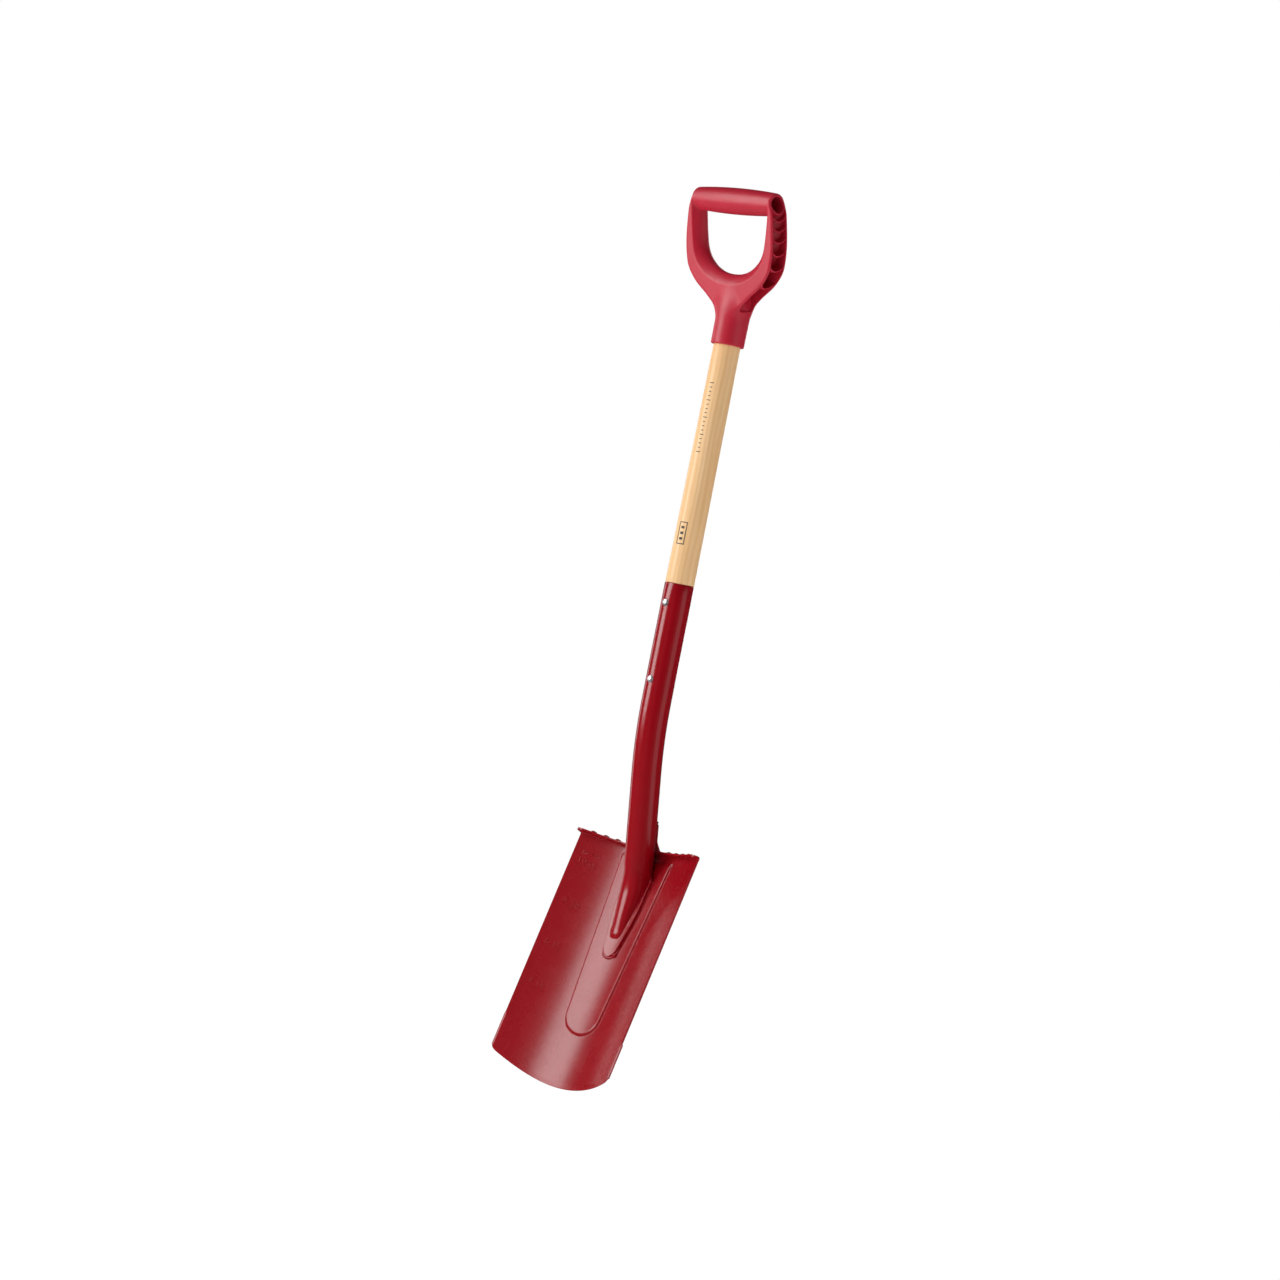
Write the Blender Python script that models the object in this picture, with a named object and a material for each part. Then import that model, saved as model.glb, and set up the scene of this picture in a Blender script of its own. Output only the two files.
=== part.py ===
"""Garden spade with a pressed steel blade, a bent socket tube, an ash shaft and a moulded D-grip.

Metres, +Z up along the shaft. +X is to the right for someone who looks at the spade's hollow front,
which faces -Y. All shapes are first laid out in the spade's own datum: the shaft's axis is x = y = 0
and z = 0 is the lowest point of the cutting edge. One empty then carries every piece so that the
world origin is the lowest point of the grip's crossbar, where a hook or a hand holds the spade up.
"""

import math

import bmesh
import bpy
from mathutils import Matrix, Vector

MM = 0.001
GAP = 0.3 * MM                      # between pieces that touch

# Blade: a pressed sheet in its own frame, x across, y towards the back, z up along the blade
BLADE_WIDTH = 190 * MM
BLADE_SAG = 27 * MM                 # depth of the hollow between the side edges
BLADE_LEAN = math.radians(16.5)     # the blade's top leans back from the shaft's axis
SHEET = 2.0 * MM
EDGE_RISE = 19 * MM                 # the cutting edge's ends stand this far above its centre
CORNER_RADIUS = 5 * MM
EDGE_THIN = 0.45                    # share of the sheet's thickness left at the cutting edge

# Raised panel in the middle of the blade
PANEL_RAISE = 2.0 * MM
PANEL_SLOPE = 4.0 * MM              # width of its sloped wall
PANEL_BOTTOM_Z = 65 * MM
PANEL_BOTTOM_HALF = 25 * MM
PANEL_BOTTOM_SAG = 11 * MM
PANEL_TOP_HALF = 40 * MM
PANEL_CORNER = 6 * MM

# Tread: the top of each half, folded forward
TREAD_Z = 293 * MM                  # its upper face, along the blade
TREAD_REACH = 10 * MM               # forward of the sheet's middle
TREAD_FOLD_RADIUS = 3.5 * MM        # at the sheet's middle
TREAD_OVERHANG = 4.6 * MM           # past the blade's side
BUMP_RADIUS = 4.2 * MM
BUMP_HEIGHT = 2.3 * MM
BUMP_COUNT = 4
BUMP_FORWARD = 0.55 * TREAD_REACH   # of the sheet's middle
BUMP_INNER_MARGIN = 18.5 * MM       # from the tread's inner end to the first bump
BUMP_OUTER_MARGIN = 14.5 * MM         # from the last bump to the blade's side

# Centre tab behind the tube
TAB_HALF = 11 * MM
TAB_FILLET = 4.5 * MM               # where it meets the treads
TAB_HEIGHT = 33 * MM
TAB_JOIN = 15 * MM                  # height over which it leans in to meet the tube
TREAD_INNER_X = TAB_HALF + TAB_FILLET

# Socket tube
TUBE_RADIUS = 17.1 * MM
TUBE_WALL = 1.8 * MM
UPPER_TUBE = 177 * MM               # from the bend up to the rim
LOWER_TUBE = 184.3 * MM             # from the bend down to where the axis meets the blade
BEND_ANGLE = math.radians(9.4)      # going down, the tube turns back by this much
BEND_LENGTH = 85 * MM
TREAD_CLEARANCE = 6.1 * MM          # between the tube's back and the sheet, at the tread
MEET_ANGLE = BLADE_LEAN + BEND_ANGLE
AXIS_TO_SHEET = TUBE_RADIUS / math.cos(MEET_ANGLE) + SHEET / 2 + TREAD_CLEARANCE
MEET_Z = TREAD_Z - AXIS_TO_SHEET / math.tan(MEET_ANGLE)
BEND_Z = MEET_Z * math.cos(BLADE_LEAN) + LOWER_TUBE * math.cos(BEND_ANGLE)
BLADE_TIP_Y = LOWER_TUBE * math.sin(BEND_ANGLE) - MEET_Z * math.sin(BLADE_LEAN)
TUBE_TOP_Z = BEND_Z + UPPER_TUBE

# The tube's flattened end, at heights along the blade
ROUND_END = 73 * MM                 # above MEET_Z: the last cut square to the tube's axis
TONGUE_THICKNESS = 3.2 * MM
TOE_HEIGHT = 8.5 * MM               # of the ridge, soon after it leaves the flat tongue
TONGUE_TIP_Z = MEET_Z - 78.5 * MM
TONGUE_TOE_Z = MEET_Z - 57 * MM     # where the round ridge has run out into the flat tongue
WING_TOP_Z = MEET_Z + 23 * MM       # where the flattened sides start
CAVITY_END_Z = MEET_Z - 15 * MM     # where the tube's hollow ends
WING_SPREAD = 3.4 * MM              # the wings stand out this far from the tube's sides
WING_HALF = TUBE_RADIUS + WING_SPREAD

# Ash shaft
SHAFT_VISIBLE = 278 * MM            # between the tube's rim and the grip
SHAFT_RADIUS_LOW = TUBE_RADIUS - GAP
SHAFT_RADIUS_HIGH = 15.6 * MM       # at the grip
SHAFT_FIT = 0.3 * MM                # radial clearance in the tube and in the grip
SHAFT_END_BELOW_RIVET = 28 * MM
SHAFT_CHAMFER = 1.5 * MM

# Rivets, front to back through tube and shaft
RIVET_DROP = 23.3 * MM              # from the tube's rim to the upper rivet
RIVET_SPACING = 88.9 * MM
RIVET_UPPER_Z = TUBE_TOP_Z - RIVET_DROP
RIVET_LOWER_Z = RIVET_UPPER_Z - RIVET_SPACING
RIVET_SHANK_RADIUS = 2.5 * MM
RIVET_HEAD_RADIUS = 4.2 * MM
RIVET_HEAD_HEIGHT = 2.2 * MM
RIVET_TAIL_RADIUS = 3.8 * MM
RIVET_TAIL_HEIGHT = 1.6 * MM

# Grip: socket on the shaft, and a D that leans forward
SOCKET_BOTTOM_Z = TUBE_TOP_Z + SHAFT_VISIBLE
SOCKET_DEPTH = 45 * MM
SOCKET_WALL = 3.4 * MM
SOCKET_ROUNDING = 1.5 * MM          # of its rim
LEAN_RISE = 40 * MM                 # from the socket's rim to the D's own origin on the shaft's axis
LEAN_Z = SOCKET_BOTTOM_Z + LEAN_RISE
LEAN_ANGLE = math.radians(13.5)
D_HALF = 68.5 * MM                  # half the D's greatest width
D_DEPTH = 27 * MM                   # front to back
D_EDGE_RADIUS = 3 * MM
FLANGE = 2.5 * MM                   # the arms' front and back walls
WEB = 3.2 * MM                      # wall between the window and the side channels
ARM = 14.5 * MM                     # from the window to the D's widest point
BAR_W = 125.6 * MM                  # the crossbar's axis, up the D
BAR_RADIUS = 15.2 * MM              # at its middle
BAR_END_RADIUS = D_DEPTH / 2 - 0.5 * MM
BAR_HALF_LENGTH = D_HALF - 7.5 * MM
BAR_BORE_RADIUS = 9.5 * MM
BAR_CENTRE_WALL = 8 * MM
BAR_ROUNDING = 3 * MM               # of the crossbar's two ends
WINDOW_BOTTOM_W = 42.7 * MM
WINDOW_HALF = D_HALF - ARM
WINDOW_SIDE_FLARE = 6.5 * MM        # its walls are rounded: wider by this much at the D's faces
WINDOW_FLOOR_FLARE = 11 * MM        # and lower by this much
CHANNEL_HALF_DEPTH = D_DEPTH / 2 - FLANGE
CORE_HALF = 15.5 * MM               # solid neck between the two channels
RIB_THICKNESS = 2.0 * MM
RIB_SAG = 6 * MM
RIB_FIRST_STEP = 9.9 * MM           # from the bore's lower side to the first rib
RIB_STEP_GROWTH = 1.17              # each step down is longer by this factor
RIB_COUNT = 6

# Screw that pins the grip to the shaft, from behind
SCREW_RISE = 20 * MM                # above the socket's rim
SCREW_SHANK_RADIUS = 2.0 * MM
SCREW_HEAD_RADIUS = 4.0 * MM
SCREW_HEAD_DEPTH = 2.6 * MM
SCREW_HEAD_SUNK = 0.8 * MM
SCREW_BITE = 18 * MM

# Weld beads
BEAD_RADIUS = 1.5 * MM
BEAD_LUMP = 0.08                    # the beads' radius varies by this share
BEAD_STAND_OFF = 0.6 * MM           # from the tongue's faceted outline

# Outline of the D: (share of the crossbar's height, share of the half-width), neck to crossbar
D_OUTLINE = [(-0.048, 0.20), (0.016, 0.234), (0.064, 0.292), (0.147, 0.445), (0.247, 0.693),
             (0.358, 0.891), (0.462, 0.971), (0.637, 1.0), (0.860, 0.964), (0.955, 0.915),
             (1.020, 0.842), (1.064, 0.752), (1.088, 0.657)]

# Outline of the hand window: (share of its height to the crossbar's axis, share of its half-width)
WINDOW_OUTLINE = [(0.0, 0.07), (0.011, 0.222), (0.048, 0.417), (0.127, 0.63), (0.265, 0.833),
                  (0.458, 0.944), (0.844, 1.0), (1.013, 1.0)]

# Outline of the flattened tongue: (height above its tip, share of the wings' half-width)
TONGUE_PROFILE = [(0, 0.14), (2.5, 0.34), (7, 0.50), (16, 0.60), (28, 0.71), (40, 0.83), (54, 0.93),
                  (70, 0.99), (91, 1.0), (97.5, 0.99), (100.5, 0.93)]
TONGUE_OUTLINE = [(TONGUE_TIP_Z + up * MM, WING_HALF * share) for up, share in TONGUE_PROFILE]

PAINT_RED = (0.27, 0.003, 0.008)
GRIP_RED = (0.36, 0.010, 0.022)
ASH = (0.80, 0.56, 0.31)
STEEL = (0.72, 0.72, 0.74)

ROUND_STEPS = 24
INNER_COLUMNS = 3                   # of each half of the blade, under the tab
FRONT_POINTS = 15                   # of each ring round the tube, in front of its flattened back
BACK_POINTS = 9
FRONT_TURN = math.radians(114)      # from the tube's front to where its back can lie flat


def clear_scene():
    for old in list(bpy.data.objects):
        bpy.data.objects.remove(old, do_unlink=True)


def make_material(name, colour, roughness, metallic):
    material = bpy.data.materials.new(name)
    material.use_nodes = True
    shader = material.node_tree.nodes["Principled BSDF"]
    shader.inputs["Base Color"].default_value = (*colour, 1.0)
    shader.inputs["Roughness"].default_value = roughness
    shader.inputs["Metallic"].default_value = metallic
    return material


def new_object(name, bm, material=None, parent=None):
    """An object from a bmesh, with its faces turned outward and its round sides shaded smooth."""
    bmesh.ops.recalc_face_normals(bm, faces=bm.faces)
    mesh = bpy.data.meshes.new(name)
    bm.to_mesh(mesh)
    bm.free()
    mesh.shade_smooth()
    mesh.set_sharp_from_angle(angle=math.radians(35))
    obj = bpy.data.objects.new(name, mesh)
    bpy.context.scene.collection.objects.link(obj)
    if material:
        mesh.materials.append(material)
    obj.parent = parent
    return obj


def new_cutter(name, bm, parent=None):
    cutter = new_object(name, bm, parent=parent)
    cutter.hide_render = True
    cutter.display_type = "WIRE"
    return cutter


def boolean(target, other, operation):
    modifier = target.modifiers.new(other.name, "BOOLEAN")
    modifier.operation = operation
    modifier.solver = "EXACT"
    modifier.object = other


def loft(rings):
    """A closed skin over rings of equal length, capped at both ends."""
    bm = bmesh.new()
    loops = [[bm.verts.new(point) for point in ring] for ring in rings]
    for low, high in zip(loops, loops[1:]):
        for index in range(len(low)):
            after = (index + 1) % len(low)
            bm.faces.new((low[index], low[after], high[after], high[index]))
    bm.faces.new(reversed(loops[0]))
    bm.faces.new(loops[-1])
    return bm


def turned(profile, steps=ROUND_STEPS):
    """A solid of revolution about Z from (radius, z) points, capped flat at both ends."""
    rings = []
    for radius, z in profile:
        rings.append([Vector((radius * math.cos(turn), radius * math.sin(turn), z))
                      for turn in (2 * math.pi * step / steps for step in range(steps))])
    return loft(rings)


def prism(outline, axis_point, half_depth):
    """Extrudes a 2D outline: axis_point(u, v, depth) gives each point."""
    front = [axis_point(u, v, -half_depth) for u, v in outline]
    back = [axis_point(u, v, half_depth) for u, v in outline]
    return loft([front, back])


def smooth_step(value):
    value = min(max(value, 0.0), 1.0)
    return value * value * (3 - 2 * value)


def smooth_min(first, second, blend):
    share = max(blend - abs(first - second), 0.0) / blend
    return min(first, second) - share * share * blend / 4


def smooth_path(stations, steps):
    """Points on a smooth curve through the stations."""
    points = [Vector(station) for station in stations]
    points = [2 * points[0] - points[1]] + points + [2 * points[-1] - points[-2]]
    path = []
    for a, b, c, d in zip(points, points[1:], points[2:], points[3:]):
        for step in range(steps):
            t = step / steps
            path.append(0.5 * (2 * b + (c - a) * t + (2 * a - 5 * b + 4 * c - d) * t * t
                               + (3 * b - a - 3 * c + d) * t ** 3))
    path.append(points[-2])
    return path


# ---------------------------------------------------------------- blade

def blade_matrix():
    return Matrix.Translation((0, BLADE_TIP_Y, 0)) @ Matrix.Rotation(-BLADE_LEAN, 4, "X")


def dish(x):
    """Height of the sheet's middle surface, without the panel: the side edges come forward."""
    return -BLADE_SAG * (2 * x / BLADE_WIDTH) ** 2


def panel_half(z):
    rise = (z - PANEL_BOTTOM_Z) / (TREAD_Z - PANEL_BOTTOM_Z)
    return PANEL_BOTTOM_HALF + (PANEL_TOP_HALF - PANEL_BOTTOM_HALF) * min(max(rise, 0.0), 1.0)


def panel_height(x, z):
    side = panel_half(z) - abs(x)
    floor = PANEL_BOTTOM_Z + PANEL_BOTTOM_SAG * (x / PANEL_BOTTOM_HALF) ** 2
    inside = smooth_min(side, z - floor, PANEL_CORNER)
    fade = (TREAD_Z - TREAD_FOLD_RADIUS - z) / (2 * PANEL_SLOPE)
    return PANEL_RAISE * smooth_step(0.5 + inside / PANEL_SLOPE) * smooth_step(fade)


def fold_start():
    """Height at which the tread's fold leaves the blade's sheet."""
    return TREAD_Z - SHEET / 2 - TREAD_FOLD_RADIUS


def tube_axis_on_blade(z):
    """The lower tube axis as a y in the blade's frame: in front of the sheet above MEET_Z."""
    return -(z - MEET_Z) * math.tan(MEET_ANGLE)


def tab_point(x, z):
    """The tab leaves the sheet and leans in until it hugs the back of the tube."""
    hug_radius = TUBE_RADIUS + GAP + SHEET / 2
    hug = tube_axis_on_blade(z) + math.sqrt(hug_radius ** 2 - x ** 2) / math.cos(MEET_ANGLE)
    share = smooth_step((z - fold_start()) / TAB_JOIN)
    return Vector((x, dish(x) * (1 - share) + hug * share, z))


def blade_columns(z):
    """Positions across one half of the blade, from its centre line to its side."""
    inner = [TREAD_INNER_X * step / INNER_COLUMNS for step in range(INNER_COLUMNS + 1)]
    wall = [panel_half(z) - PANEL_SLOPE / 2, panel_half(z) + PANEL_SLOPE / 2]
    outer = [wall[1] + (BLADE_WIDTH / 2 - wall[1]) * step / 4 for step in range(1, 5)]
    return inner + [(TREAD_INNER_X + wall[0]) / 2] + wall + outer


def spaced(start, end, count):
    """Evenly spaced values after start, up to and with end."""
    return [start + (end - start) * step / count for step in range(1, count + 1)]


def blade_rows():
    """Heights above the cutting edge: close together at the corners and at the panel's lower end."""
    corner = [0, 0.15 * CORNER_RADIUS, 0.5 * CORNER_RADIUS, CORNER_RADIUS]
    panel_start = PANEL_BOTTOM_Z - 14 * MM
    panel_end = PANEL_BOTTOM_Z + PANEL_BOTTOM_SAG + 7 * MM
    top_start = fold_start() - 2 * PANEL_SLOPE
    rows = corner + spaced(CORNER_RADIUS, panel_start, 3) + spaced(panel_start, panel_end, 9)
    return rows + spaced(panel_end, top_start, 5) + spaced(top_start, fold_start(), 2)


def blade_point(x, height):
    """A point of the sheet: height counts from the curved cutting edge and ends at the fold."""
    if height < CORNER_RADIUS:
        drop = CORNER_RADIUS - math.sqrt(CORNER_RADIUS ** 2 - (CORNER_RADIUS - height) ** 2)
        x *= 1 - drop / (BLADE_WIDTH / 2)
    edge = EDGE_RISE * (2 * x / BLADE_WIDTH) ** 2
    z = height + edge * (1 - height / fold_start())
    return Vector((x, dish(x) - panel_height(x, z), z))


def tread_rows(x, side):
    """The fold and the flat tread in front of one point of the sheet's top edge."""
    slope = 2 * dish(x) / x
    forward = Vector((slope, -1, 0)).normalized()
    foot = Vector((x, dish(x), fold_start()))
    rows = []
    for turn in (math.radians(30), math.radians(60), math.radians(90)):
        out = TREAD_FOLD_RADIUS * (1 - math.cos(turn))
        rows.append(foot + forward * out + Vector((0, 0, TREAD_FOLD_RADIUS * math.sin(turn))))
    last = foot + forward * TREAD_REACH
    last.z = fold_start() + TREAD_FOLD_RADIUS
    rows.append((rows[-1] + last) / 2)
    rows.append(last)
    if abs(x) > BLADE_WIDTH / 2 - MM:
        for row, share in enumerate((0.3, 0.7, 1.0, 1.0, 0.25)):
            rows[row].x += side * TREAD_OVERHANG * share
    return rows


def tab_half(z):
    """Half-width of the tab: it flares out with a round fillet where it meets the tread."""
    up = z - fold_start()
    if up >= TAB_FILLET:
        return TAB_HALF
    return TAB_HALF + TAB_FILLET - math.sqrt(TAB_FILLET ** 2 - (TAB_FILLET - up) ** 2)


def add_grid(bm, rows):
    for low, high in zip(rows, rows[1:]):
        for column in range(len(low) - 1):
            bm.faces.new((low[column], low[column + 1], high[column + 1], high[column]))


def blade_sheet():
    """The sheet's middle surface as one open skin, with the cutting edge's vertices first."""
    bm = bmesh.new()
    grid = []
    for height in blade_rows():
        half = blade_columns(height)
        across = [-x for x in reversed(half[1:])] + half
        grid.append([bm.verts.new(blade_point(x, height)) for x in across])
    add_grid(bm, grid)
    top = grid[-1]
    centre = len(top) // 2
    inner = INNER_COLUMNS
    for side in (-1, 1):
        columns = range(centre + inner, len(top)) if side > 0 else range(centre - inner, -1, -1)
        strip = [[top[column] for column in columns]]
        feet = [tread_rows(vertex.co.x, side) for vertex in strip[0]]
        for row in range(len(feet[0])):
            strip.append([bm.verts.new(foot[row]) for foot in feet])
        add_grid(bm, strip)
    tab = [top[centre - inner:centre + inner + 1]]
    fillet = [TAB_FILLET * share for share in (0.2, 0.5, 1)]
    for up in fillet + spaced(TAB_FILLET, TAB_HEIGHT, 6):
        z = fold_start() + up
        half = tab_half(z)
        tab.append([bm.verts.new(tab_point(half * step / inner, z)) for step in range(-inner, inner + 1)])
    add_grid(bm, tab)
    bmesh.ops.recalc_face_normals(bm, faces=bm.faces)
    return bm


def make_bumps(parent):
    """Low domes that stand on the treads against slipping, sunk a little into the sheet."""
    joined = bmesh.new()
    first = TREAD_INNER_X + BUMP_INNER_MARGIN
    last = BLADE_WIDTH / 2 - BUMP_OUTER_MARGIN
    for side in (-1, 1):
        for step in range(BUMP_COUNT):
            x = side * (first + (last - first) * step / (BUMP_COUNT - 1))
            slope = 2 * dish(x) / x
            forward = Vector((slope, -1, 0)).normalized()
            place = Vector((x, dish(x), TREAD_Z - SHEET / 4)) + forward * BUMP_FORWARD
            scale = Matrix.Diagonal((BUMP_RADIUS, BUMP_RADIUS, BUMP_HEIGHT + SHEET / 4, 1))
            bmesh.ops.create_uvsphere(joined, u_segments=12, v_segments=8, radius=1,
                                      matrix=Matrix.Translation(place) @ scale)
    for vertex in joined.verts:
        vertex.co.z = max(vertex.co.z, TREAD_Z - SHEET / 4)
    bmesh.ops.remove_doubles(joined, verts=joined.verts, dist=GAP / 30)
    return new_cutter("tread_bumps", joined, parent)


def make_blade(parent, material):
    blade = new_object("blade", blade_sheet(), material, parent)
    blade.matrix_local = blade_matrix()
    thickness = blade.vertex_groups.new(name="thickness")
    thickness.add(range(len(blade.data.vertices)), 1.0, "REPLACE")
    edge_length = 2 * len(blade_columns(0)) - 1
    thickness.add(range(edge_length), EDGE_THIN, "REPLACE")
    solid = blade.modifiers.new("sheet", "SOLIDIFY")
    solid.thickness = SHEET
    solid.offset = 0
    solid.use_even_offset = True
    solid.vertex_group = thickness.name
    return blade


# ---------------------------------------------------------------- socket tube

def tube_rings_upper(radius, top_z):
    """Rings square to the axis, from the rim through the bend."""
    rings = []
    half_bend = BEND_LENGTH / 2
    bend_radius = BEND_LENGTH / BEND_ANGLE
    frames = [(Vector((0, 0, top_z)), 0.0), (Vector((0, 0, BEND_Z + half_bend)), 0.0)]
    for step in range(1, 6):
        turn = BEND_ANGLE * step / 5
        y = bend_radius * (1 - math.cos(turn))
        z = BEND_Z + half_bend - bend_radius * math.sin(turn)
        frames.append((Vector((0, y, z)), turn))
    for centre, turn in frames:
        out = Vector((0, math.cos(turn), math.sin(turn)))
        ring = []
        for angle in ring_angles():
            ring.append(centre + Vector((radius * math.sin(angle), 0, 0)) - out * radius * math.cos(angle))
        rings.append(ring)
    return rings


def ring_angles():
    """Angles round the tube from its front: a front share, then a back share that can lie flat."""
    front = [-FRONT_TURN + 2 * FRONT_TURN * step / (FRONT_POINTS - 1) for step in range(FRONT_POINTS)]
    span = 2 * math.pi - 2 * FRONT_TURN
    back = [FRONT_TURN + span * (step + 1) / (BACK_POINTS + 1) for step in range(BACK_POINTS)]
    return front + back


def seat(x):
    """Front face of the raised panel, with the gap that the tube keeps to it."""
    return dish(x) - PANEL_RAISE - SHEET / 2 - GAP


def round_ring(z, radius, lift):
    """The straight tube cut by a plane across the blade, flattened at a lift above the seat."""
    squash = 1 / math.cos(MEET_ANGLE)
    ring = []
    for angle in ring_angles():
        x = radius * math.sin(angle)
        y = tube_axis_on_blade(z) - radius * squash * math.cos(angle)
        ring.append(Vector((x, min(y, seat(x) - lift), z)))
    return ring


def ridge_size(z):
    """Height above the tongue and half-width of the round ridge that runs out into the tongue."""
    straight = -(tube_axis_on_blade(z) - TUBE_RADIUS / math.cos(MEET_ANGLE))
    straight += seat(0) - TONGUE_THICKNESS
    run = min(max((z - TONGUE_TOE_Z) / (WING_TOP_Z - TONGUE_TOE_Z), 0.0), 1.0)
    flat = TOE_HEIGHT * math.sqrt(run)
    blend = smooth_step(run * 1.15)
    height = flat * (1 - blend) + max(straight, flat) * blend
    return height, TUBE_RADIUS * (0.55 + 0.45 * run ** 0.6)


def tongue_half(z):
    """Half-width of the flattened tongue, read from its outline."""
    for (low, narrow), (high, wide) in zip(TONGUE_OUTLINE, TONGUE_OUTLINE[1:]):
        if z <= high:
            share = (z - low) / (high - low)
            return narrow + (wide - narrow) * share
    return TONGUE_OUTLINE[-1][1]


def tongue_stations():
    """Heights of the cross-sections, from the wings' top down to the tip."""
    toe = [TONGUE_TOE_Z + step * MM for step in (-1, 2, 5, 10)]
    ridge = [TONGUE_TOE_Z + step * MM for step in (53, 63)]
    return sorted([z for z, _ in TONGUE_OUTLINE] + toe + ridge, reverse=True)


def tongue_ring(z):
    """Ridge and wings in front, seat behind."""
    half = tongue_half(z)
    height, ridge_half = ridge_size(z)
    ring = []
    for step in range(FRONT_POINTS):
        share = -1 + 2 * step / (FRONT_POINTS - 1)
        x = half * math.sin(share * math.pi / 2)
        inside = max(1 - (x / ridge_half) ** 2, 0.0)
        ridge = height * math.sqrt(inside) - 1.2 * MM * (1 - math.sqrt(inside))
        rise = TONGUE_THICKNESS - smooth_min(-ridge, 0.0, 3 * MM)
        ring.append(Vector((x, seat(x) - rise, z)))
    for step in range(BACK_POINTS):
        x = half * (1 - 2 * step / (BACK_POINTS - 1))
        ring.append(Vector((x, seat(x), z)))
    return ring


def make_socket_tube(parent, material):
    to_datum = blade_matrix()
    rings = tube_rings_upper(TUBE_RADIUS, TUBE_TOP_Z)
    start = MEET_Z + ROUND_END
    for z in [start] + spaced(start, WING_TOP_Z + 3 * MM, 5):
        rings.append([to_datum @ point for point in round_ring(z, TUBE_RADIUS, 0)])
    for z in tongue_stations():
        rings.append([to_datum @ point for point in tongue_ring(z)])
    inner = tube_rings_upper(TUBE_RADIUS - TUBE_WALL, TUBE_TOP_Z)
    bore = TUBE_RADIUS - TUBE_WALL
    for z in [start] + spaced(start, CAVITY_END_Z, 6):
        inner.append([to_datum @ point for point in round_ring(z, bore, TUBE_WALL)])
    chain = list(reversed(rings)) + inner
    return new_object("socket_tube", loft(chain), material, parent)


# ---------------------------------------------------------------- shaft, rivets, screw

def make_shaft(parent, material):
    in_tube = TUBE_RADIUS - TUBE_WALL - SHAFT_FIT
    bottom = RIVET_LOWER_Z - SHAFT_END_BELOW_RIVET
    shoulder = TUBE_TOP_Z + GAP
    top = SOCKET_BOTTOM_Z + SOCKET_DEPTH - GAP
    profile = [(in_tube - SHAFT_CHAMFER, bottom), (in_tube, bottom + SHAFT_CHAMFER), (in_tube, shoulder),
               (SHAFT_RADIUS_LOW - GAP, shoulder), (SHAFT_RADIUS_LOW, shoulder + GAP),
               (SHAFT_RADIUS_HIGH, SOCKET_BOTTOM_Z - 2 * MM),
               (SHAFT_RADIUS_HIGH, top - SHAFT_CHAMFER), (SHAFT_RADIUS_HIGH - SHAFT_CHAMFER, top)]
    return new_object("shaft", turned(profile), material, parent)


def dome(radius, height, base, direction, steps=5):
    """(radius, z) points of a domed head, from its rim to its crown."""
    points = []
    for step in range(steps):
        turn = math.pi / 2 * step / steps
        points.append((radius * math.cos(turn), base + direction * height * math.sin(turn)))
    points.append((radius * 0.02, base + direction * height))
    return points


def make_rivet(name, z, parent, material):
    """The head is at the front. The profile runs along Z and is then laid along Y."""
    face = TUBE_RADIUS + GAP
    tail = dome(RIVET_TAIL_RADIUS, RIVET_TAIL_HEIGHT, -face, -1)
    head = dome(RIVET_HEAD_RADIUS, RIVET_HEAD_HEIGHT, face, 1)
    profile = list(reversed(tail)) + [(RIVET_SHANK_RADIUS, -face), (RIVET_SHANK_RADIUS, face)] + head
    rivet = new_object(name, turned(profile, 20), material, parent)
    rivet.location = (0, 0, z)
    rivet.rotation_euler = (math.pi / 2, 0, 0)
    return rivet


def rivet_hole(name, z, parent):
    reach = TUBE_RADIUS + RIVET_HEAD_HEIGHT
    radius = RIVET_SHANK_RADIUS + GAP
    hole = new_cutter(name, turned([(radius, -reach), (radius, reach)], 16), parent)
    hole.location = (0, 0, z)
    hole.rotation_euler = (math.pi / 2, 0, 0)
    return hole


def screw_profile(grow):
    """Countersunk head and pointed shank along -Z; grow adds clearance for the hole."""
    socket = SHAFT_RADIUS_HIGH + SHAFT_FIT + SOCKET_WALL
    top = socket - SCREW_HEAD_SUNK
    shank = SCREW_SHANK_RADIUS + grow
    point = SHAFT_RADIUS_HIGH - SCREW_BITE
    head = SCREW_HEAD_RADIUS + grow
    profile = [(0.3 * MM + grow, point - grow), (shank, point + 4 * MM), (shank, top - SCREW_HEAD_DEPTH)]
    profile += [(head, top - 0.4 * MM), (head, top)]
    if grow:
        profile.append((head, socket + SOCKET_WALL))
    return profile


def place_screw(obj):
    obj.location = (0, 0, SOCKET_BOTTOM_Z + SCREW_RISE)
    obj.rotation_euler = (-math.pi / 2, 0, 0)
    return obj


def make_screw(parent, material):
    return place_screw(new_object("grip_screw", turned(screw_profile(0.0), 16), material, parent))


# ---------------------------------------------------------------- grip

def lean_matrix():
    """The D's frame: x across, y towards the back, z up the leaning D."""
    return Matrix.Translation((0, 0, LEAN_Z)) @ Matrix.Rotation(LEAN_ANGLE, 4, "X")


def across_face(x, w, depth):
    return Vector((x, depth, w))


def across_side(depth, w, x):
    return Vector((x, depth, w))


def mirrored(half):
    """A closed outline from its right half, which runs from bottom to top."""
    return [(x, w) for x, w in half] + [(-x, w) for x, w in reversed(half)]


def d_plate(parent):
    path = smooth_path([(half * D_HALF, up * BAR_W) for up, half in D_OUTLINE], 2)
    plate = new_cutter("grip_plate", prism(mirrored(path), across_face, D_DEPTH / 2), parent)
    bevel = plate.modifiers.new("rounded edges", "BEVEL")
    bevel.width = D_EDGE_RADIUS
    bevel.segments = 2
    bevel.limit_method = "ANGLE"
    bevel.angle_limit = math.radians(60)
    return plate


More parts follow.
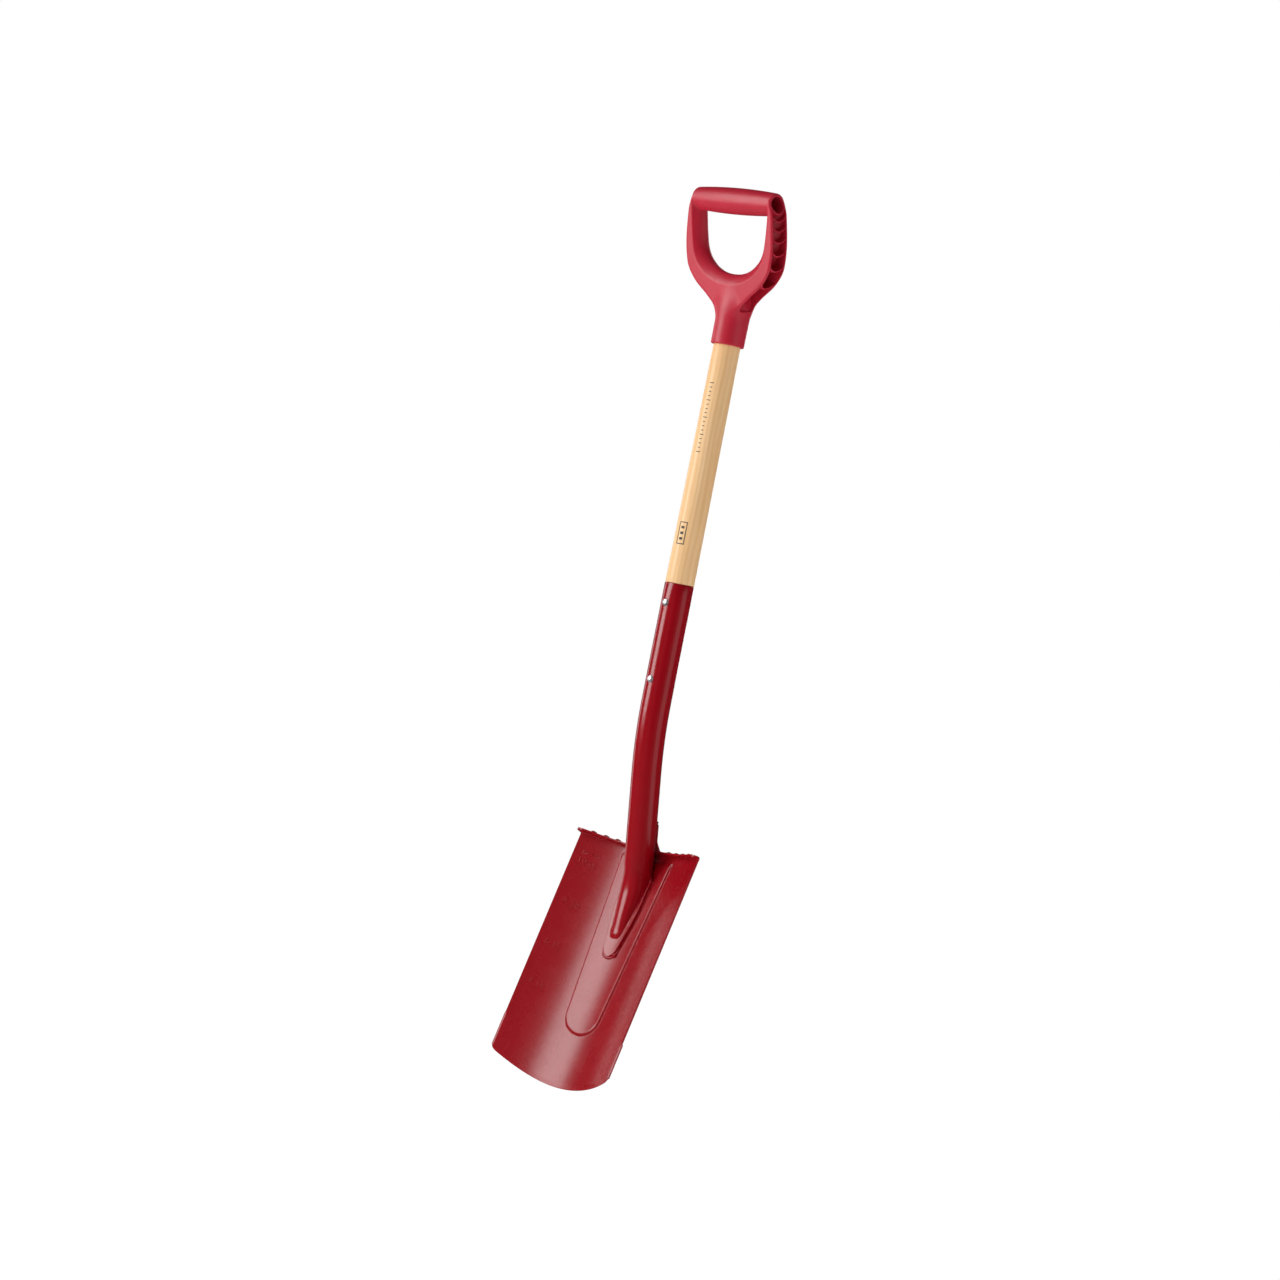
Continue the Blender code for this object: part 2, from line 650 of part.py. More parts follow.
def d_side_limit(parent):
    """Everything inside the D as seen from its side: flat faces, and a round top about the crossbar."""
    half = D_DEPTH / 2
    outline = [(-half, -LEAN_RISE / 2)]
    outline += [(-half * math.cos(math.pi * step / 12), BAR_W + half * math.sin(math.pi * step / 12))
                for step in range(13)]
    outline.append((half, -LEAN_RISE / 2))
    return new_cutter("grip_side_limit", prism(outline, across_side, D_HALF + ARM), parent)


def window_side():
    """Right side of the window from its floor up to the crossbar's axis, as (x, w) points."""
    rise = BAR_W - WINDOW_BOTTOM_W
    return [(WINDOW_HALF * half, WINDOW_BOTTOM_W + rise * up) for up, half in WINDOW_OUTLINE]


def window_flare(w, depth):
    """How far the window's rounded wall has drawn back at a distance from the D's middle plane."""
    up = smooth_step((w - WINDOW_BOTTOM_W) / (BAR_W - WINDOW_BOTTOM_W) * 2)
    flare = WINDOW_FLOOR_FLARE + (WINDOW_SIDE_FLARE - WINDOW_FLOOR_FLARE) * up
    bulge = math.sqrt(max(1 - (2 * depth / D_DEPTH) ** 2, 0.0))
    return flare * (1 - bulge)


def grown(outline, depth):
    """The window's closed outline, moved outward by its flare at this depth."""
    moved = []
    for index, here in enumerate(outline):
        before = Vector(outline[index - 1])
        after = Vector(outline[(index + 1) % len(outline)])
        along = (after - before).normalized()
        distance = window_flare(here[1], depth)
        moved.append((here[0] + along.y * distance, here[1] - along.x * distance))
    return moved


def window_cutter(parent):
    """The hand opening, open at the top until the crossbar is joined on. Its walls bulge inward."""
    path = [tuple(point) for point in smooth_path(window_side(), 2)]
    outline = mirrored(path + [(WINDOW_HALF, BAR_W + 2 * BAR_RADIUS)])
    rings = []
    for share in (-1.1, -1, -0.85, -0.55, 0, 0.55, 0.85, 1, 1.1):
        depth = share * D_DEPTH / 2
        rings.append([Vector((x, depth, w)) for x, w in grown(outline, depth)])
    return new_cutter("grip_window", loft(rings), parent)


def rib_levels():
    """Lowest point of each rib's arc, going down from the crossbar's bore."""
    levels = []
    level = BAR_W - BAR_BORE_RADIUS
    step = RIB_FIRST_STEP
    for _ in range(RIB_COUNT):
        level -= step
        levels.append(level)
        step *= RIB_STEP_GROWTH
    return levels


def rib_outline(level):
    """A bowed strip as seen from the side, wide enough to end inside the channel's walls."""
    half = CHANNEL_HALF_DEPTH + FLANGE / 2
    radius = (half ** 2 + RIB_SAG ** 2) / (2 * RIB_SAG)
    reach = math.asin(half / radius)
    low = []
    high = []
    for step in range(7):
        turn = reach * (step / 3 - 1)
        low.append((radius * math.sin(turn), level + radius * (1 - math.cos(turn)) - RIB_THICKNESS / 2))
        high.append((radius * math.sin(turn), level + radius * (1 - math.cos(turn)) + RIB_THICKNESS / 2))
    return low + list(reversed(high))


def channel_cutter(side, parent):
    """Hollow of one arm, open outward, with solid ribs left across it."""
    top = BAR_W - BAR_BORE_RADIUS - RIB_THICKNESS
    under = 0.95 * WINDOW_BOTTOM_W
    core = [(CORE_HALF, -FLANGE), (CORE_HALF, 0.45 * WINDOW_BOTTOM_W), (1.35 * CORE_HALF, under)]
    core += [(x + WEB, w) for x, w in window_side() if under < w < top and x > 1.5 * CORE_HALF]
    core.append((WINDOW_HALF + WEB, top))
    outer = D_HALF + ARM
    rings = []
    for share in (-1, -0.85, -0.55, 0, 0.55, 0.85, 1):
        depth = share * CHANNEL_HALF_DEPTH
        layer = [(x + window_flare(w, depth) * smooth_step(w / under), w) for x, w in core]
        layer += [(outer, core[-1][1]), (outer, core[0][1])]
        rings.append([Vector((side * x, depth, w)) for x, w in layer])
    channel = new_cutter(f"grip_channel_{side}", loft(rings), parent)
    for number, level in enumerate(rib_levels()):
        strip = prism(rib_outline(level), across_side, D_HALF + 2 * ARM)
        rib = new_cutter(f"grip_rib_{side}_{number}", strip, parent)
        boolean(channel, rib, "DIFFERENCE")
    return channel


def crossbar(parent):
    """The barrel-shaped bar, across the D."""
    profile = []
    for step in range(-6, 7):
        share = step / 6
        radius = BAR_RADIUS - (BAR_RADIUS - BAR_END_RADIUS) * share ** 2
        profile.append((radius, (BAR_HALF_LENGTH - BAR_ROUNDING) * share))
    profile = [(BAR_END_RADIUS - BAR_ROUNDING, -BAR_HALF_LENGTH)] + profile
    profile.append((BAR_END_RADIUS - BAR_ROUNDING, BAR_HALF_LENGTH))
    bar = new_cutter("grip_bar", turned(profile), parent)
    bar.location = (0, 0, BAR_W)
    bar.rotation_euler = (0, math.pi / 2, 0)
    return bar


def bar_bore(side, parent):
    """Blind hole in one end of the crossbar."""
    profile = [(BAR_BORE_RADIUS * 0.94, BAR_CENTRE_WALL / 2), (BAR_BORE_RADIUS, D_HALF)]
    bore = new_cutter(f"grip_bore_{side}", turned(profile), parent)
    bore.location = (0, 0, BAR_W)
    bore.rotation_euler = (0, side * math.pi / 2, 0)
    return bore


def make_grip(parent, material):
    """The socket on the shaft, joined by booleans to the leaning D."""
    lean = bpy.data.objects.new("grip_lean", None)
    bpy.context.scene.collection.objects.link(lean)
    lean.parent = parent
    lean.matrix_local = lean_matrix()
    bore = SHAFT_RADIUS_HIGH + SHAFT_FIT
    outer = bore + SOCKET_WALL
    top = SOCKET_BOTTOM_Z + SOCKET_DEPTH
    profile = [(outer - SOCKET_ROUNDING, SOCKET_BOTTOM_Z), (outer, SOCKET_BOTTOM_Z + SOCKET_ROUNDING),
               (outer + 0.4 * MM, top - 6 * MM), (outer - 1.5 * MM, top + 2 * MM),
               (outer - 6 * MM, top + 8 * MM)]
    grip = new_object("grip", turned(profile, 32), material, parent)
    plate = d_plate(lean)
    boolean(plate, d_side_limit(lean), "INTERSECT")
    boolean(plate, window_cutter(lean), "DIFFERENCE")
    for side in (-1, 1):
        boolean(plate, channel_cutter(side, lean), "DIFFERENCE")
    boolean(plate, crossbar(lean), "UNION")
    for side in (-1, 1):
        boolean(plate, bar_bore(side, lean), "DIFFERENCE")
    boolean(grip, plate, "UNION")
    depth = [(bore, SOCKET_BOTTOM_Z - SOCKET_WALL), (bore, top)]
    socket = new_cutter("grip_socket_bore", turned(depth, 32), parent)
    boolean(grip, socket, "DIFFERENCE")
    hole = place_screw(new_cutter("grip_screw_hole", turned(screw_profile(GAP), 16), parent))
    boolean(grip, hole, "DIFFERENCE")
    return grip, hole


# ---------------------------------------------------------------- weld beads

def bead(name, path, parent, material, sides=8):
    """A lumpy round bead along a path."""
    rings = []
    for index, centre in enumerate(path):
        before = path[max(index - 1, 0)]
        after = path[min(index + 1, len(path) - 1)]
        along = (after - before).normalized()
        aside = along.cross(Vector((0, 1, 0))).normalized()
        out = aside.cross(along)
        radius = BEAD_RADIUS * (1 + BEAD_LUMP * math.sin(2.4 * index))
        rings.append([centre + radius * (aside * math.cos(turn) + out * math.sin(turn))
                      for turn in (2 * math.pi * step / sides for step in range(sides))])
    return new_object(name, loft(rings), material, parent)


def make_tongue_weld(parent, material):
    """Runs down one side of the tongue, round its tip and up the other side."""
    to_datum = blade_matrix()
    reach = BEAD_RADIUS * (1 + BEAD_LUMP) + BEAD_STAND_OFF
    edge = [Vector((half, 0, z)) for z, half in reversed(TONGUE_OUTLINE)]
    edge.append(Vector((0, 0, edge[-1].z)))
    side = []
    for before, here, after in zip(edge[1:], edge[2:], edge[3:]):
        along = (here - before).normalized() + (after - here).normalized()
        side.append(here + Vector((-along.z, 0, along.x)).normalized() * reach)
    tip = [Vector((0, 0, edge[-1].z - reach))]
    left = [Vector((-point.x, 0, point.z)) for point in side]
    flat = left + tip + list(reversed(side))
    path = []
    for point in flat:
        y = seat(point.x) - BEAD_RADIUS * (1 + BEAD_LUMP)
        path.append(to_datum @ Vector((point.x, y, point.z)))
    return bead("weld_tongue", path, parent, material)


def make_tab_weld(parent, material):
    """Lies across the tab's top edge, against the back of the tube."""
    to_datum = blade_matrix()
    thickest = BEAD_RADIUS * (1 + BEAD_LUMP)
    z = fold_start() + TAB_HEIGHT + thickest + GAP
    hug = TUBE_RADIUS + thickest + GAP
    squash = 1 / math.cos(MEET_ANGLE)
    path = []
    for step in range(-5, 6):
        turn = math.asin(TAB_HALF / TUBE_RADIUS) * step / 5
        y = tube_axis_on_blade(z) + hug * squash * math.cos(turn)
        path.append(to_datum @ Vector((hug * math.sin(turn), y, z)))
    return bead("weld_tab", path, parent, material)


def main():
    clear_scene()
    paint = make_material("blade_paint", PAINT_RED, 0.28, 0.0)
    tube_paint = make_material("tube_paint", PAINT_RED, 0.28, 0.0)
    weld_paint = make_material("weld_paint", PAINT_RED, 0.4, 0.0)
    wood = make_material("ash", ASH, 0.42, 0.0)
    plastic = make_material("grip_plastic", GRIP_RED, 0.45, 0.0)
    steel = make_material("bright_steel", STEEL, 0.25, 1.0)

    origin = bpy.data.objects.new("hang_point", None)
    bpy.context.scene.collection.objects.link(origin)
    bar = lean_matrix() @ Vector((0, 0, BAR_W))
    origin.location = (0, -bar.y, -(bar.z - BAR_RADIUS))

    blade = make_blade(origin, paint)
    bumps = make_bumps(origin)
    bumps.matrix_local = blade_matrix()
    boolean(blade, bumps, "UNION")

    tube = make_socket_tube(origin, tube_paint)
    shaft = make_shaft(origin, wood)
    for name, z in (("rivet_upper", RIVET_UPPER_Z), ("rivet_lower", RIVET_LOWER_Z)):
        make_rivet(name, z, origin, steel)
        hole = rivet_hole(f"{name}_hole", z, origin)
        boolean(tube, hole, "DIFFERENCE")
        boolean(shaft, hole, "DIFFERENCE")

    _, screw_hole = make_grip(origin, plastic)
    boolean(shaft, screw_hole, "DIFFERENCE")
    make_screw(origin, steel)
    make_tongue_weld(origin, weld_paint)
    make_tab_weld(origin, weld_paint)


main()
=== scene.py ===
"""Looks of the garden spade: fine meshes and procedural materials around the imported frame.

Shapes are laid out in the spade's own datum (shaft axis x = y = 0, z = 0 at the lowest point of the
cutting edge, -Y to the front) and moved by DATUM, which puts the underside of the crossbar at the
world origin.
"""

import itertools
import math

import bmesh
import bpy
import numpy as np
from mathutils import Matrix, Vector


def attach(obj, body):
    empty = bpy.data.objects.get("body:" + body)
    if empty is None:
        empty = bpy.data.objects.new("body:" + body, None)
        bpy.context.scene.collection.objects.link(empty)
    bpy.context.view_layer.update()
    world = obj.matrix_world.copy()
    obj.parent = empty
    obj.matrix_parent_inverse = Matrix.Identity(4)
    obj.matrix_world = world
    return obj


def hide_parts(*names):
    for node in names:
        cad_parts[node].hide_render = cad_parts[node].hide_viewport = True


MM = 0.001

# Blade, in its own frame: x across, y back, z up along the blade
BLADE_WIDTH = 190 * MM
BLADE_SAG = 27 * MM
BLADE_LEAN = math.radians(16.5)
SHEET = 2.0 * MM
SOFT_EDGE = 0.3 * MM
EDGE_RISE = 19 * MM
CORNER_RADIUS = 5 * MM
CORNER_ROWS = 8
EDGE_THIN = 0.45
PANEL_RAISE = 2.0 * MM
PANEL_SLOPE = 3.6 * MM
PANEL_BOTTOM_Z = 65 * MM
PANEL_BOTTOM_HALF = 25 * MM
PANEL_BOTTOM_SAG = 11 * MM
PANEL_TOP_HALF = 40 * MM
PANEL_CORNER = 9 * MM
PANEL_STEP_HALF = 0.62 * PANEL_SLOPE
PANEL_END_GAP = 3 * MM  # the panel has ended this far below the tread's rounding
PANEL_END_SLOPE = 2.5 * PANEL_SLOPE
GRIND_LOW = 22 * MM  # the side edges are ground between these heights
GRIND_HIGH = 64 * MM
GRIND_WIDTH = 1.3 * MM
GRIND_FADE = 1 * MM
GRIND_STEP = 0.9 * MM
GRIND_BACK = 0.9 * MM

TREAD_Z = 293 * MM
TREAD_REACH = 10 * MM
TREAD_FOLD_RADIUS = 3.5 * MM
TREAD_OVERHANG = 4.6 * MM
TREAD_CORNER = 8 * MM
TREAD_SPREAD = 22 * MM  # the overhang grows over this outer width
FOLD_START = TREAD_Z - SHEET / 2 - TREAD_FOLD_RADIUS
BUMP_RADIUS = 4.2 * MM
BUMP_HEIGHT = 2.3 * MM
BUMP_X = (34 * MM, 49.5 * MM, 65 * MM, 80.5 * MM)
BUMP_DOME_Z = 0.36 * MM
BUMP_FOOT = [(1.28, -0.3 * MM), (1.28, 0.02 * MM), (1.12, 0.10 * MM), (1.0, BUMP_DOME_Z)]
BUMP_SIDES = 32
TAB_HALF = 11 * MM
TAB_FILLET = 4.5 * MM
TAB_HEIGHT = 33 * MM
TAB_JOIN = 15 * MM
TAB_CORNER = 3 * MM
TREAD_INNER_X = TAB_HALF + TAB_FILLET

# Socket tube
TUBE_RADIUS = 17.1 * MM
TUBE_WALL = 1.8 * MM
TUBE_STANDOFF = 6.1 * MM  # from the sheet to the tube's back, at the tread
TUBE_RIM = 0.4 * MM
UPPER_TUBE = 177 * MM
LOWER_TUBE = 184.3 * MM
BEND_ANGLE = math.radians(9.4)
BEND_LENGTH = 85 * MM
BEND_STEPS = 14
GAP = 0.3 * MM
MEET_ANGLE = BLADE_LEAN + BEND_ANGLE
MEET_Z = TREAD_Z - (TUBE_RADIUS / math.cos(MEET_ANGLE) + SHEET / 2 + TUBE_STANDOFF) / math.tan(MEET_ANGLE)
BEND_Z = MEET_Z * math.cos(BLADE_LEAN) + LOWER_TUBE * math.cos(BEND_ANGLE)
BLADE_TIP_Y = LOWER_TUBE * math.sin(BEND_ANGLE) - MEET_Z * math.sin(BLADE_LEAN)
TUBE_TOP_Z = BEND_Z + UPPER_TUBE
TONGUE_THICKNESS = 3.0 * MM
TONGUE_TIP_Z = MEET_Z - 78.5 * MM
TONGUE_TOE_Z = MEET_Z - 57 * MM
WING_TOP_Z = MEET_Z + 23 * MM
ROUND_TOP_Z = MEET_Z + 73 * MM
BORE_END_Z = MEET_Z - 15 * MM
SEAT_BLEND = 0.6 * MM
TOE_LENGTH = 9 * MM
TOE_HEIGHT = 3.8 * MM
RIDGE_SLOPE = 0.22
RIDGE_HALVES = [(0, 8.8 * MM), (9 * MM, 9.4 * MM), (25 * MM, 11.8 * MM), (45 * MM, 15.5 * MM),
                (60 * MM, 17.1 * MM)]
RIDGE_BLEND = 3 * MM
RIDGE_FOOT = 1.2 * MM
RIDGE_FOOT_BLEND = 3.6 * MM
WING_ROUNDING = 1.2 * MM
WING_HALF = TUBE_RADIUS + 3.4 * MM
TONGUE_PROFILE = [(0, 0.14), (1, 0.24), (2.5, 0.34), (7, 0.50), (16, 0.60), (28, 0.71), (40, 0.83),
                  (54, 0.93), (70, 0.99), (88, 1.0), (94, 1.02), (97.5, 1.02), (100.5, 0.93)]

# Shaft, rivets and screw
SHAFT_RADIUS_LOW = TUBE_RADIUS - GAP
SHAFT_RADIUS_HIGH = 15.6 * MM
SHAFT_VISIBLE = 278 * MM
SHAFT_FIT = 0.3 * MM
SHAFT_END_BELOW_RIVET = 28 * MM
SHAFT_CHAMFER = 1.5 * MM
SOCKET_BOTTOM_Z = TUBE_TOP_Z + SHAFT_VISIBLE
TAPER_TOP_Z = SOCKET_BOTTOM_Z - 2 * MM
SOCKET_DEPTH = 45 * MM
SOCKET_WALL = 3.4 * MM
RIVET_Z = {"rivet_upper": TUBE_TOP_Z - 23.3 * MM, "rivet_lower": TUBE_TOP_Z - 112.2 * MM}
SCREW_Z = SOCKET_BOTTOM_Z + 20 * MM
SCREW_SHANK = 2 * MM
RIVET_LIFT = 0.05 * MM
RIVET_SHANK = 2.5 * MM
RIVET_RIM = 4.25 * MM
FIXING_SIDES = 40

# Grip, in the leaning D's frame: x across, y back, w up the D
LEAN_RISE = 40 * MM
LEAN_Z = SOCKET_BOTTOM_Z + LEAN_RISE
LEAN_ANGLE = math.radians(13.5)
D_HALF = 68.5 * MM
D_DEPTH = 27 * MM
WEB = 3.2 * MM
BAR_W = 125.6 * MM
BAR_RADIUS = 15.2 * MM
BAR_END_RADIUS = 13 * MM
BAR_HALF_LENGTH = 62 * MM
BAR_END_ROUNDING = 3 * MM
BAR_BORE_RADIUS = 9.5 * MM
BAR_BORE_WALL = 1.6 * MM
BAR_CORE_HALF = 4 * MM  # the bar is solid this far each side of its middle
WINDOW_BOTTOM_W = 42.7 * MM
WINDOW_HALF = 52.5 * MM
CHANNEL_HALF_DEPTH = 11 * MM
CORE_HALF = 10 * MM
CORE_BLEND = 8 * MM
CHANNEL_FOOT_W = 1 * MM
CHANNEL_FOOT_BLEND = 5 * MM
RIB_THICKNESS = 1.4 * MM
RIB_SAG = 6 * MM
RIB_COUNT = 6
RIB_STEP = 9.5 * MM  # from the bore to the first rib
RIB_STEP_GROWTH = 1.165
RIB_INSET = 0.6 * MM
CROWN_RISE = 22 * MM  # the ferrule runs on this far above its bore, tapering
CROWN_TAPER = 5.5 * MM
CROWN_TAPER_START = 8 * MM  # below the top of the bore
CROWN_TAPER_LENGTH = 30 * MM
CROWN_BLEND = 11 * MM
SOCKET_SWELL = 0.4 * MM
SIDE_FLARE = 7.5 * MM  # the window widens by this much from its middle to its faces
FLOOR_FLARE = 11 * MM
PLATE_ROUNDING = 3 * MM
VOXEL = 0.65 * MM
D_OUTLINE = [(-0.03, 0.06), (-0.005, 0.16), (0.022, 0.236), (0.064, 0.33), (0.147, 0.505), (0.247, 0.74),
             (0.358, 0.905), (0.462, 0.971), (0.637, 1.0), (0.860, 0.976), (0.955, 0.946),
             (1.025, 0.882), (1.070, 0.786), (1.094, 0.67)]
WINDOW_OUTLINE = [(0.0, 0.07), (0.011, 0.222), (0.048, 0.417), (0.127, 0.63), (0.265, 0.833),
                  (0.458, 0.944), (0.844, 1.0), (1.013, 1.0)]

# Camera, in the datum
CAMERA_AZIMUTH = math.radians(44.2)
CAMERA_ELEVATION = math.radians(-0.27)
CAMERA_ROLL = math.radians(11.26)
CAMERA_TARGET = Vector((-44.7, 0, 517.3)) * MM
CAMERA_DISTANCE = 4.922
CAMERA_LENS = 120.4
LIGHT_AIM = Vector((0, 0.03, -0.5))
FLOOR_Z = -1.36  # 0.35 m below the spade's tip, in the camera's view
FLOOR_RADIUS = 2.2
FLOOR_GLOW = 0.7  # lifts the pale floor to the photo's white

LEAN = Matrix.Translation((0, 0, LEAN_Z)) @ Matrix.Rotation(LEAN_ANGLE, 4, "X")
BAR = LEAN @ Vector((0, 0, BAR_W))
DATUM = Matrix.Translation((0, -BAR.y, -(BAR.z - BAR_RADIUS)))
BLADE = DATUM @ Matrix.Translation((0, BLADE_TIP_Y, 0)) @ Matrix.Rotation(-BLADE_LEAN, 4, "X")
BLADE_TO_DATUM = DATUM.inverted() @ BLADE


# ---- helpers

def smooth_step(value):
    value = np.clip(value, 0.0, 1.0)
    return value * value * (3 - 2 * value)


def smooth_min(first, second, blend):
    share = np.maximum(blend - np.abs(first - second), 0.0) / blend
    return np.minimum(first, second) - share * share * blend / 4


def smooth_max(first, second, blend):
    return -smooth_min(-first, -second, blend)


def coords(x, y, z):
    """Points from coordinates that are arrays or one number for all."""
    return np.stack(np.broadcast_arrays(x, y, z), 1)


def spaced(*stops):
    """Values from (end, count) stretches that follow a start: spaced(0, (5, 8), ...)."""
    values = [stops[0]]
    for end, count in stops[1:]:
        values += list(np.linspace(values[-1], end, count + 1)[1:])
    return values


def smooth_path(stations, steps):
    points = [np.array(station, float) for station in stations]
    points = [2 * points[0] - points[1]] + points + [2 * points[-1] - points[-2]]
    path = []
    for a, b, c, d in zip(points, points[1:], points[2:], points[3:]):
        for step in range(steps):
            t = step / steps
            path.append(0.5 * (2 * b + (c - a) * t + (2 * a - 5 * b + 4 * c - d) * t * t
                               + (3 * b - a - 3 * c + d) * t ** 3))
    path.append(points[-2])
    return np.array(path)


def new_object(name, data):
    obj = bpy.data.objects.new(name, data)
    bpy.context.scene.collection.objects.link(obj)
    return obj


def new_piece(name, verts, faces, material, stands_for=(), sharp=40):
    """A piece that rides with the spade. Vertices are already in world coordinates."""
    mesh = bpy.data.meshes.new(name)
    mesh.from_pydata([tuple(vertex) for vertex in verts], [], faces)
    mesh.validate()
    mesh.update()
    mesh.shade_smooth()
    mesh.set_sharp_from_angle(angle=math.radians(sharp))
    mesh.materials.append(material)
    piece = new_object(name, mesh)
    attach(piece, "root")
    if stands_for:
        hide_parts(*stands_for)
    return piece


def turn_outward(piece):
    bm = bmesh.new()
    bm.from_mesh(piece.data)
    bmesh.ops.recalc_face_normals(bm, faces=bm.faces)
    bm.to_mesh(piece.data)
    bm.free()
    return piece


def ring_faces(count, length, first=0):
    """Quads between successive closed rings, and a cap at each end."""
    faces = []
    for ring in range(count - 1):
        start = first + ring * length
        for index in range(length):
            after = (index + 1) % length
            faces.append((start + index, start + after, start + length + after, start + length + index))
    faces.append(tuple(reversed(range(first, first + length))))
    faces.append(tuple(range(first + (count - 1) * length, first + count * length)))
    return faces


def moved(matrix, points):
    flat = np.array(points, float).reshape(-1, 3)
    turn = np.array(matrix.to_3x3())
    return flat @ turn.T + np.array(matrix.translation)


def lofted(name, rings, matrix, material, stands_for=(), sharp=40):
    faces = ring_faces(len(rings), len(rings[0]))
    piece = new_piece(name, moved(matrix, rings), faces, material, stands_for, sharp)
    return turn_outward(piece)


def lathe_rings(profile, steps):
    turns = np.arange(steps) * 2 * math.pi / steps
    return [np.stack([radius * np.cos(turns), radius * np.sin(turns), np.full(steps, z)], 1)
            for radius, z in profile]


def arc(radius_r, radius_z, centre_r, centre_z, start, end, steps):
    """(radius, z) points on an ellipse arc, angles in degrees from the outward direction."""
    return [(centre_r + radius_r * math.cos(math.radians(a)), centre_z + radius_z * math.sin(math.radians(a)))
            for a in np.linspace(start, end, steps)]


# ---- materials

class Nodes:
    """Short names for building a node tree."""

    def __init__(self, name):
        self.material = bpy.data.materials.new(name)
        self.material.use_nodes = True
        self.tree = self.material.node_tree
        self.shader = self.tree.nodes["Principled BSDF"]
        self.where = self.add("ShaderNodeTexCoord").outputs["Object"]

    def add(self, kind, **settings):
        node = self.tree.nodes.new(kind)
        for key, value in settings.items():
            setattr(node, key, value)
        return node

    def link(self, source, target):
        self.tree.links.new(source, target)

    def feed(self, socket, value):
        """Sets a socket to a number or a colour, or links another socket to it."""
        if isinstance(value, (int, float)):
            socket.default_value = value
        elif isinstance(value, tuple):
            socket.default_value = (*value, 1.0)
        else:
            self.link(value, socket)

    def stretched(self, scale):
        node = self.add("ShaderNodeMapping")
        node.inputs["Scale"].default_value = scale
        self.link(self.where, node.inputs["Vector"])
        return node.outputs["Vector"]

    def noise(self, scale, detail=3.0, stretch=None, vector=None, distortion=0.0):
        node = self.add("ShaderNodeTexNoise")
        node.inputs["Scale"].default_value = scale
        node.inputs["Detail"].default_value = detail
        node.inputs["Distortion"].default_value = distortion
        source = vector or (self.stretched(stretch) if stretch else self.where)
        self.link(source, node.inputs["Vector"])
        return node.outputs["Fac"]

    def remap(self, value, low, high, to_low, to_high):
        node = self.add("ShaderNodeMapRange")
        for key, number in (("From Min", low), ("From Max", high), ("To Min", to_low), ("To Max", to_high)):
            node.inputs[key].default_value = number
        self.link(value, node.inputs["Value"])
        return node.outputs["Result"]

    def math(self, operation, first, second):
        node = self.add("ShaderNodeMath", operation=operation)
        for socket, value in zip(node.inputs, (first, second)):
            self.feed(socket, value)
        return node.outputs["Value"]

    def ramp(self, value, stops):
        node = self.add("ShaderNodeValToRGB")
        ramp = node.color_ramp
        while len(ramp.elements) < len(stops):
            ramp.elements.new(0.5)
        for element, (place, colour) in zip(ramp.elements, stops):
            element.position = place
            element.color = (*colour, 1.0)
        self.link(value, node.inputs["Fac"])
        return node.outputs["Color"]

    def mix(self, share, first, second, blend="MIX"):
        node = self.add("ShaderNodeMix", data_type="RGBA", blend_type=blend)
        for key, value in ((0, share), (6, first), (7, second)):
            self.feed(node.inputs[key], value)
        return node.outputs[2]

    def set(self, **values):
        for key, value in values.items():
            self.feed(self.shader.inputs[key.replace("_", " ")], value)

    def bump(self, *layers):
        """Each layer is (height, distance in metres, strength)."""
        normal = None
        for height, distance, strength in layers:
            node = self.add("ShaderNodeBump")
            node.inputs["Strength"].default_value = strength
            node.inputs["Distance"].default_value = distance
            self.link(height, node.inputs["Height"])
            if normal:
                self.link(normal, node.inputs["Normal"])
            normal = node.outputs["Normal"]
        self.link(normal, self.shader.inputs["Normal"])


def powder_coat(name, deep, bright, roughness, peel):
    """Glossy powder coat: faint colour drift, uneven gloss and orange peel."""
    n = Nodes(name)
    drift = n.noise(14, 4)
    colour = n.mix(n.remap(drift, 0.3, 0.7, 0, 1), deep, bright)
    n.set(Base_Color=colour, Specular_IOR_Level=0.55, IOR=1.5, Coat_Weight=0.15, Coat_Roughness=0.2)
    smear = n.noise(60, 3)
    n.set(Roughness=n.remap(smear, 0.3, 0.7, roughness - 0.015, roughness + 0.02))
    n.bump((n.noise(520, 2), 0.00004, peel), (n.noise(1800, 1), 0.00001, peel))
    return n.material


def moulded_plastic():
    """Satin nylon with a fine spark-eroded grain and a slight flow mottle."""
    n = Nodes("spade_grip_plastic")
    flow = n.noise(22, 5, distortion=0.6)
    colour = n.mix(n.remap(flow, 0.3, 0.7, 0, 1), (0.49, 0.011, 0.032), (0.55, 0.015, 0.041))
    n.set(Base_Color=colour, Specular_IOR_Level=0.55, IOR=1.5)
    n.set(Roughness=n.remap(n.noise(300, 3), 0.3, 0.7, 0.36, 0.46))
    n.bump((n.noise(2600, 2), 0.00003, 0.5), (n.noise(240, 3), 0.00006, 0.15))
    return n.material


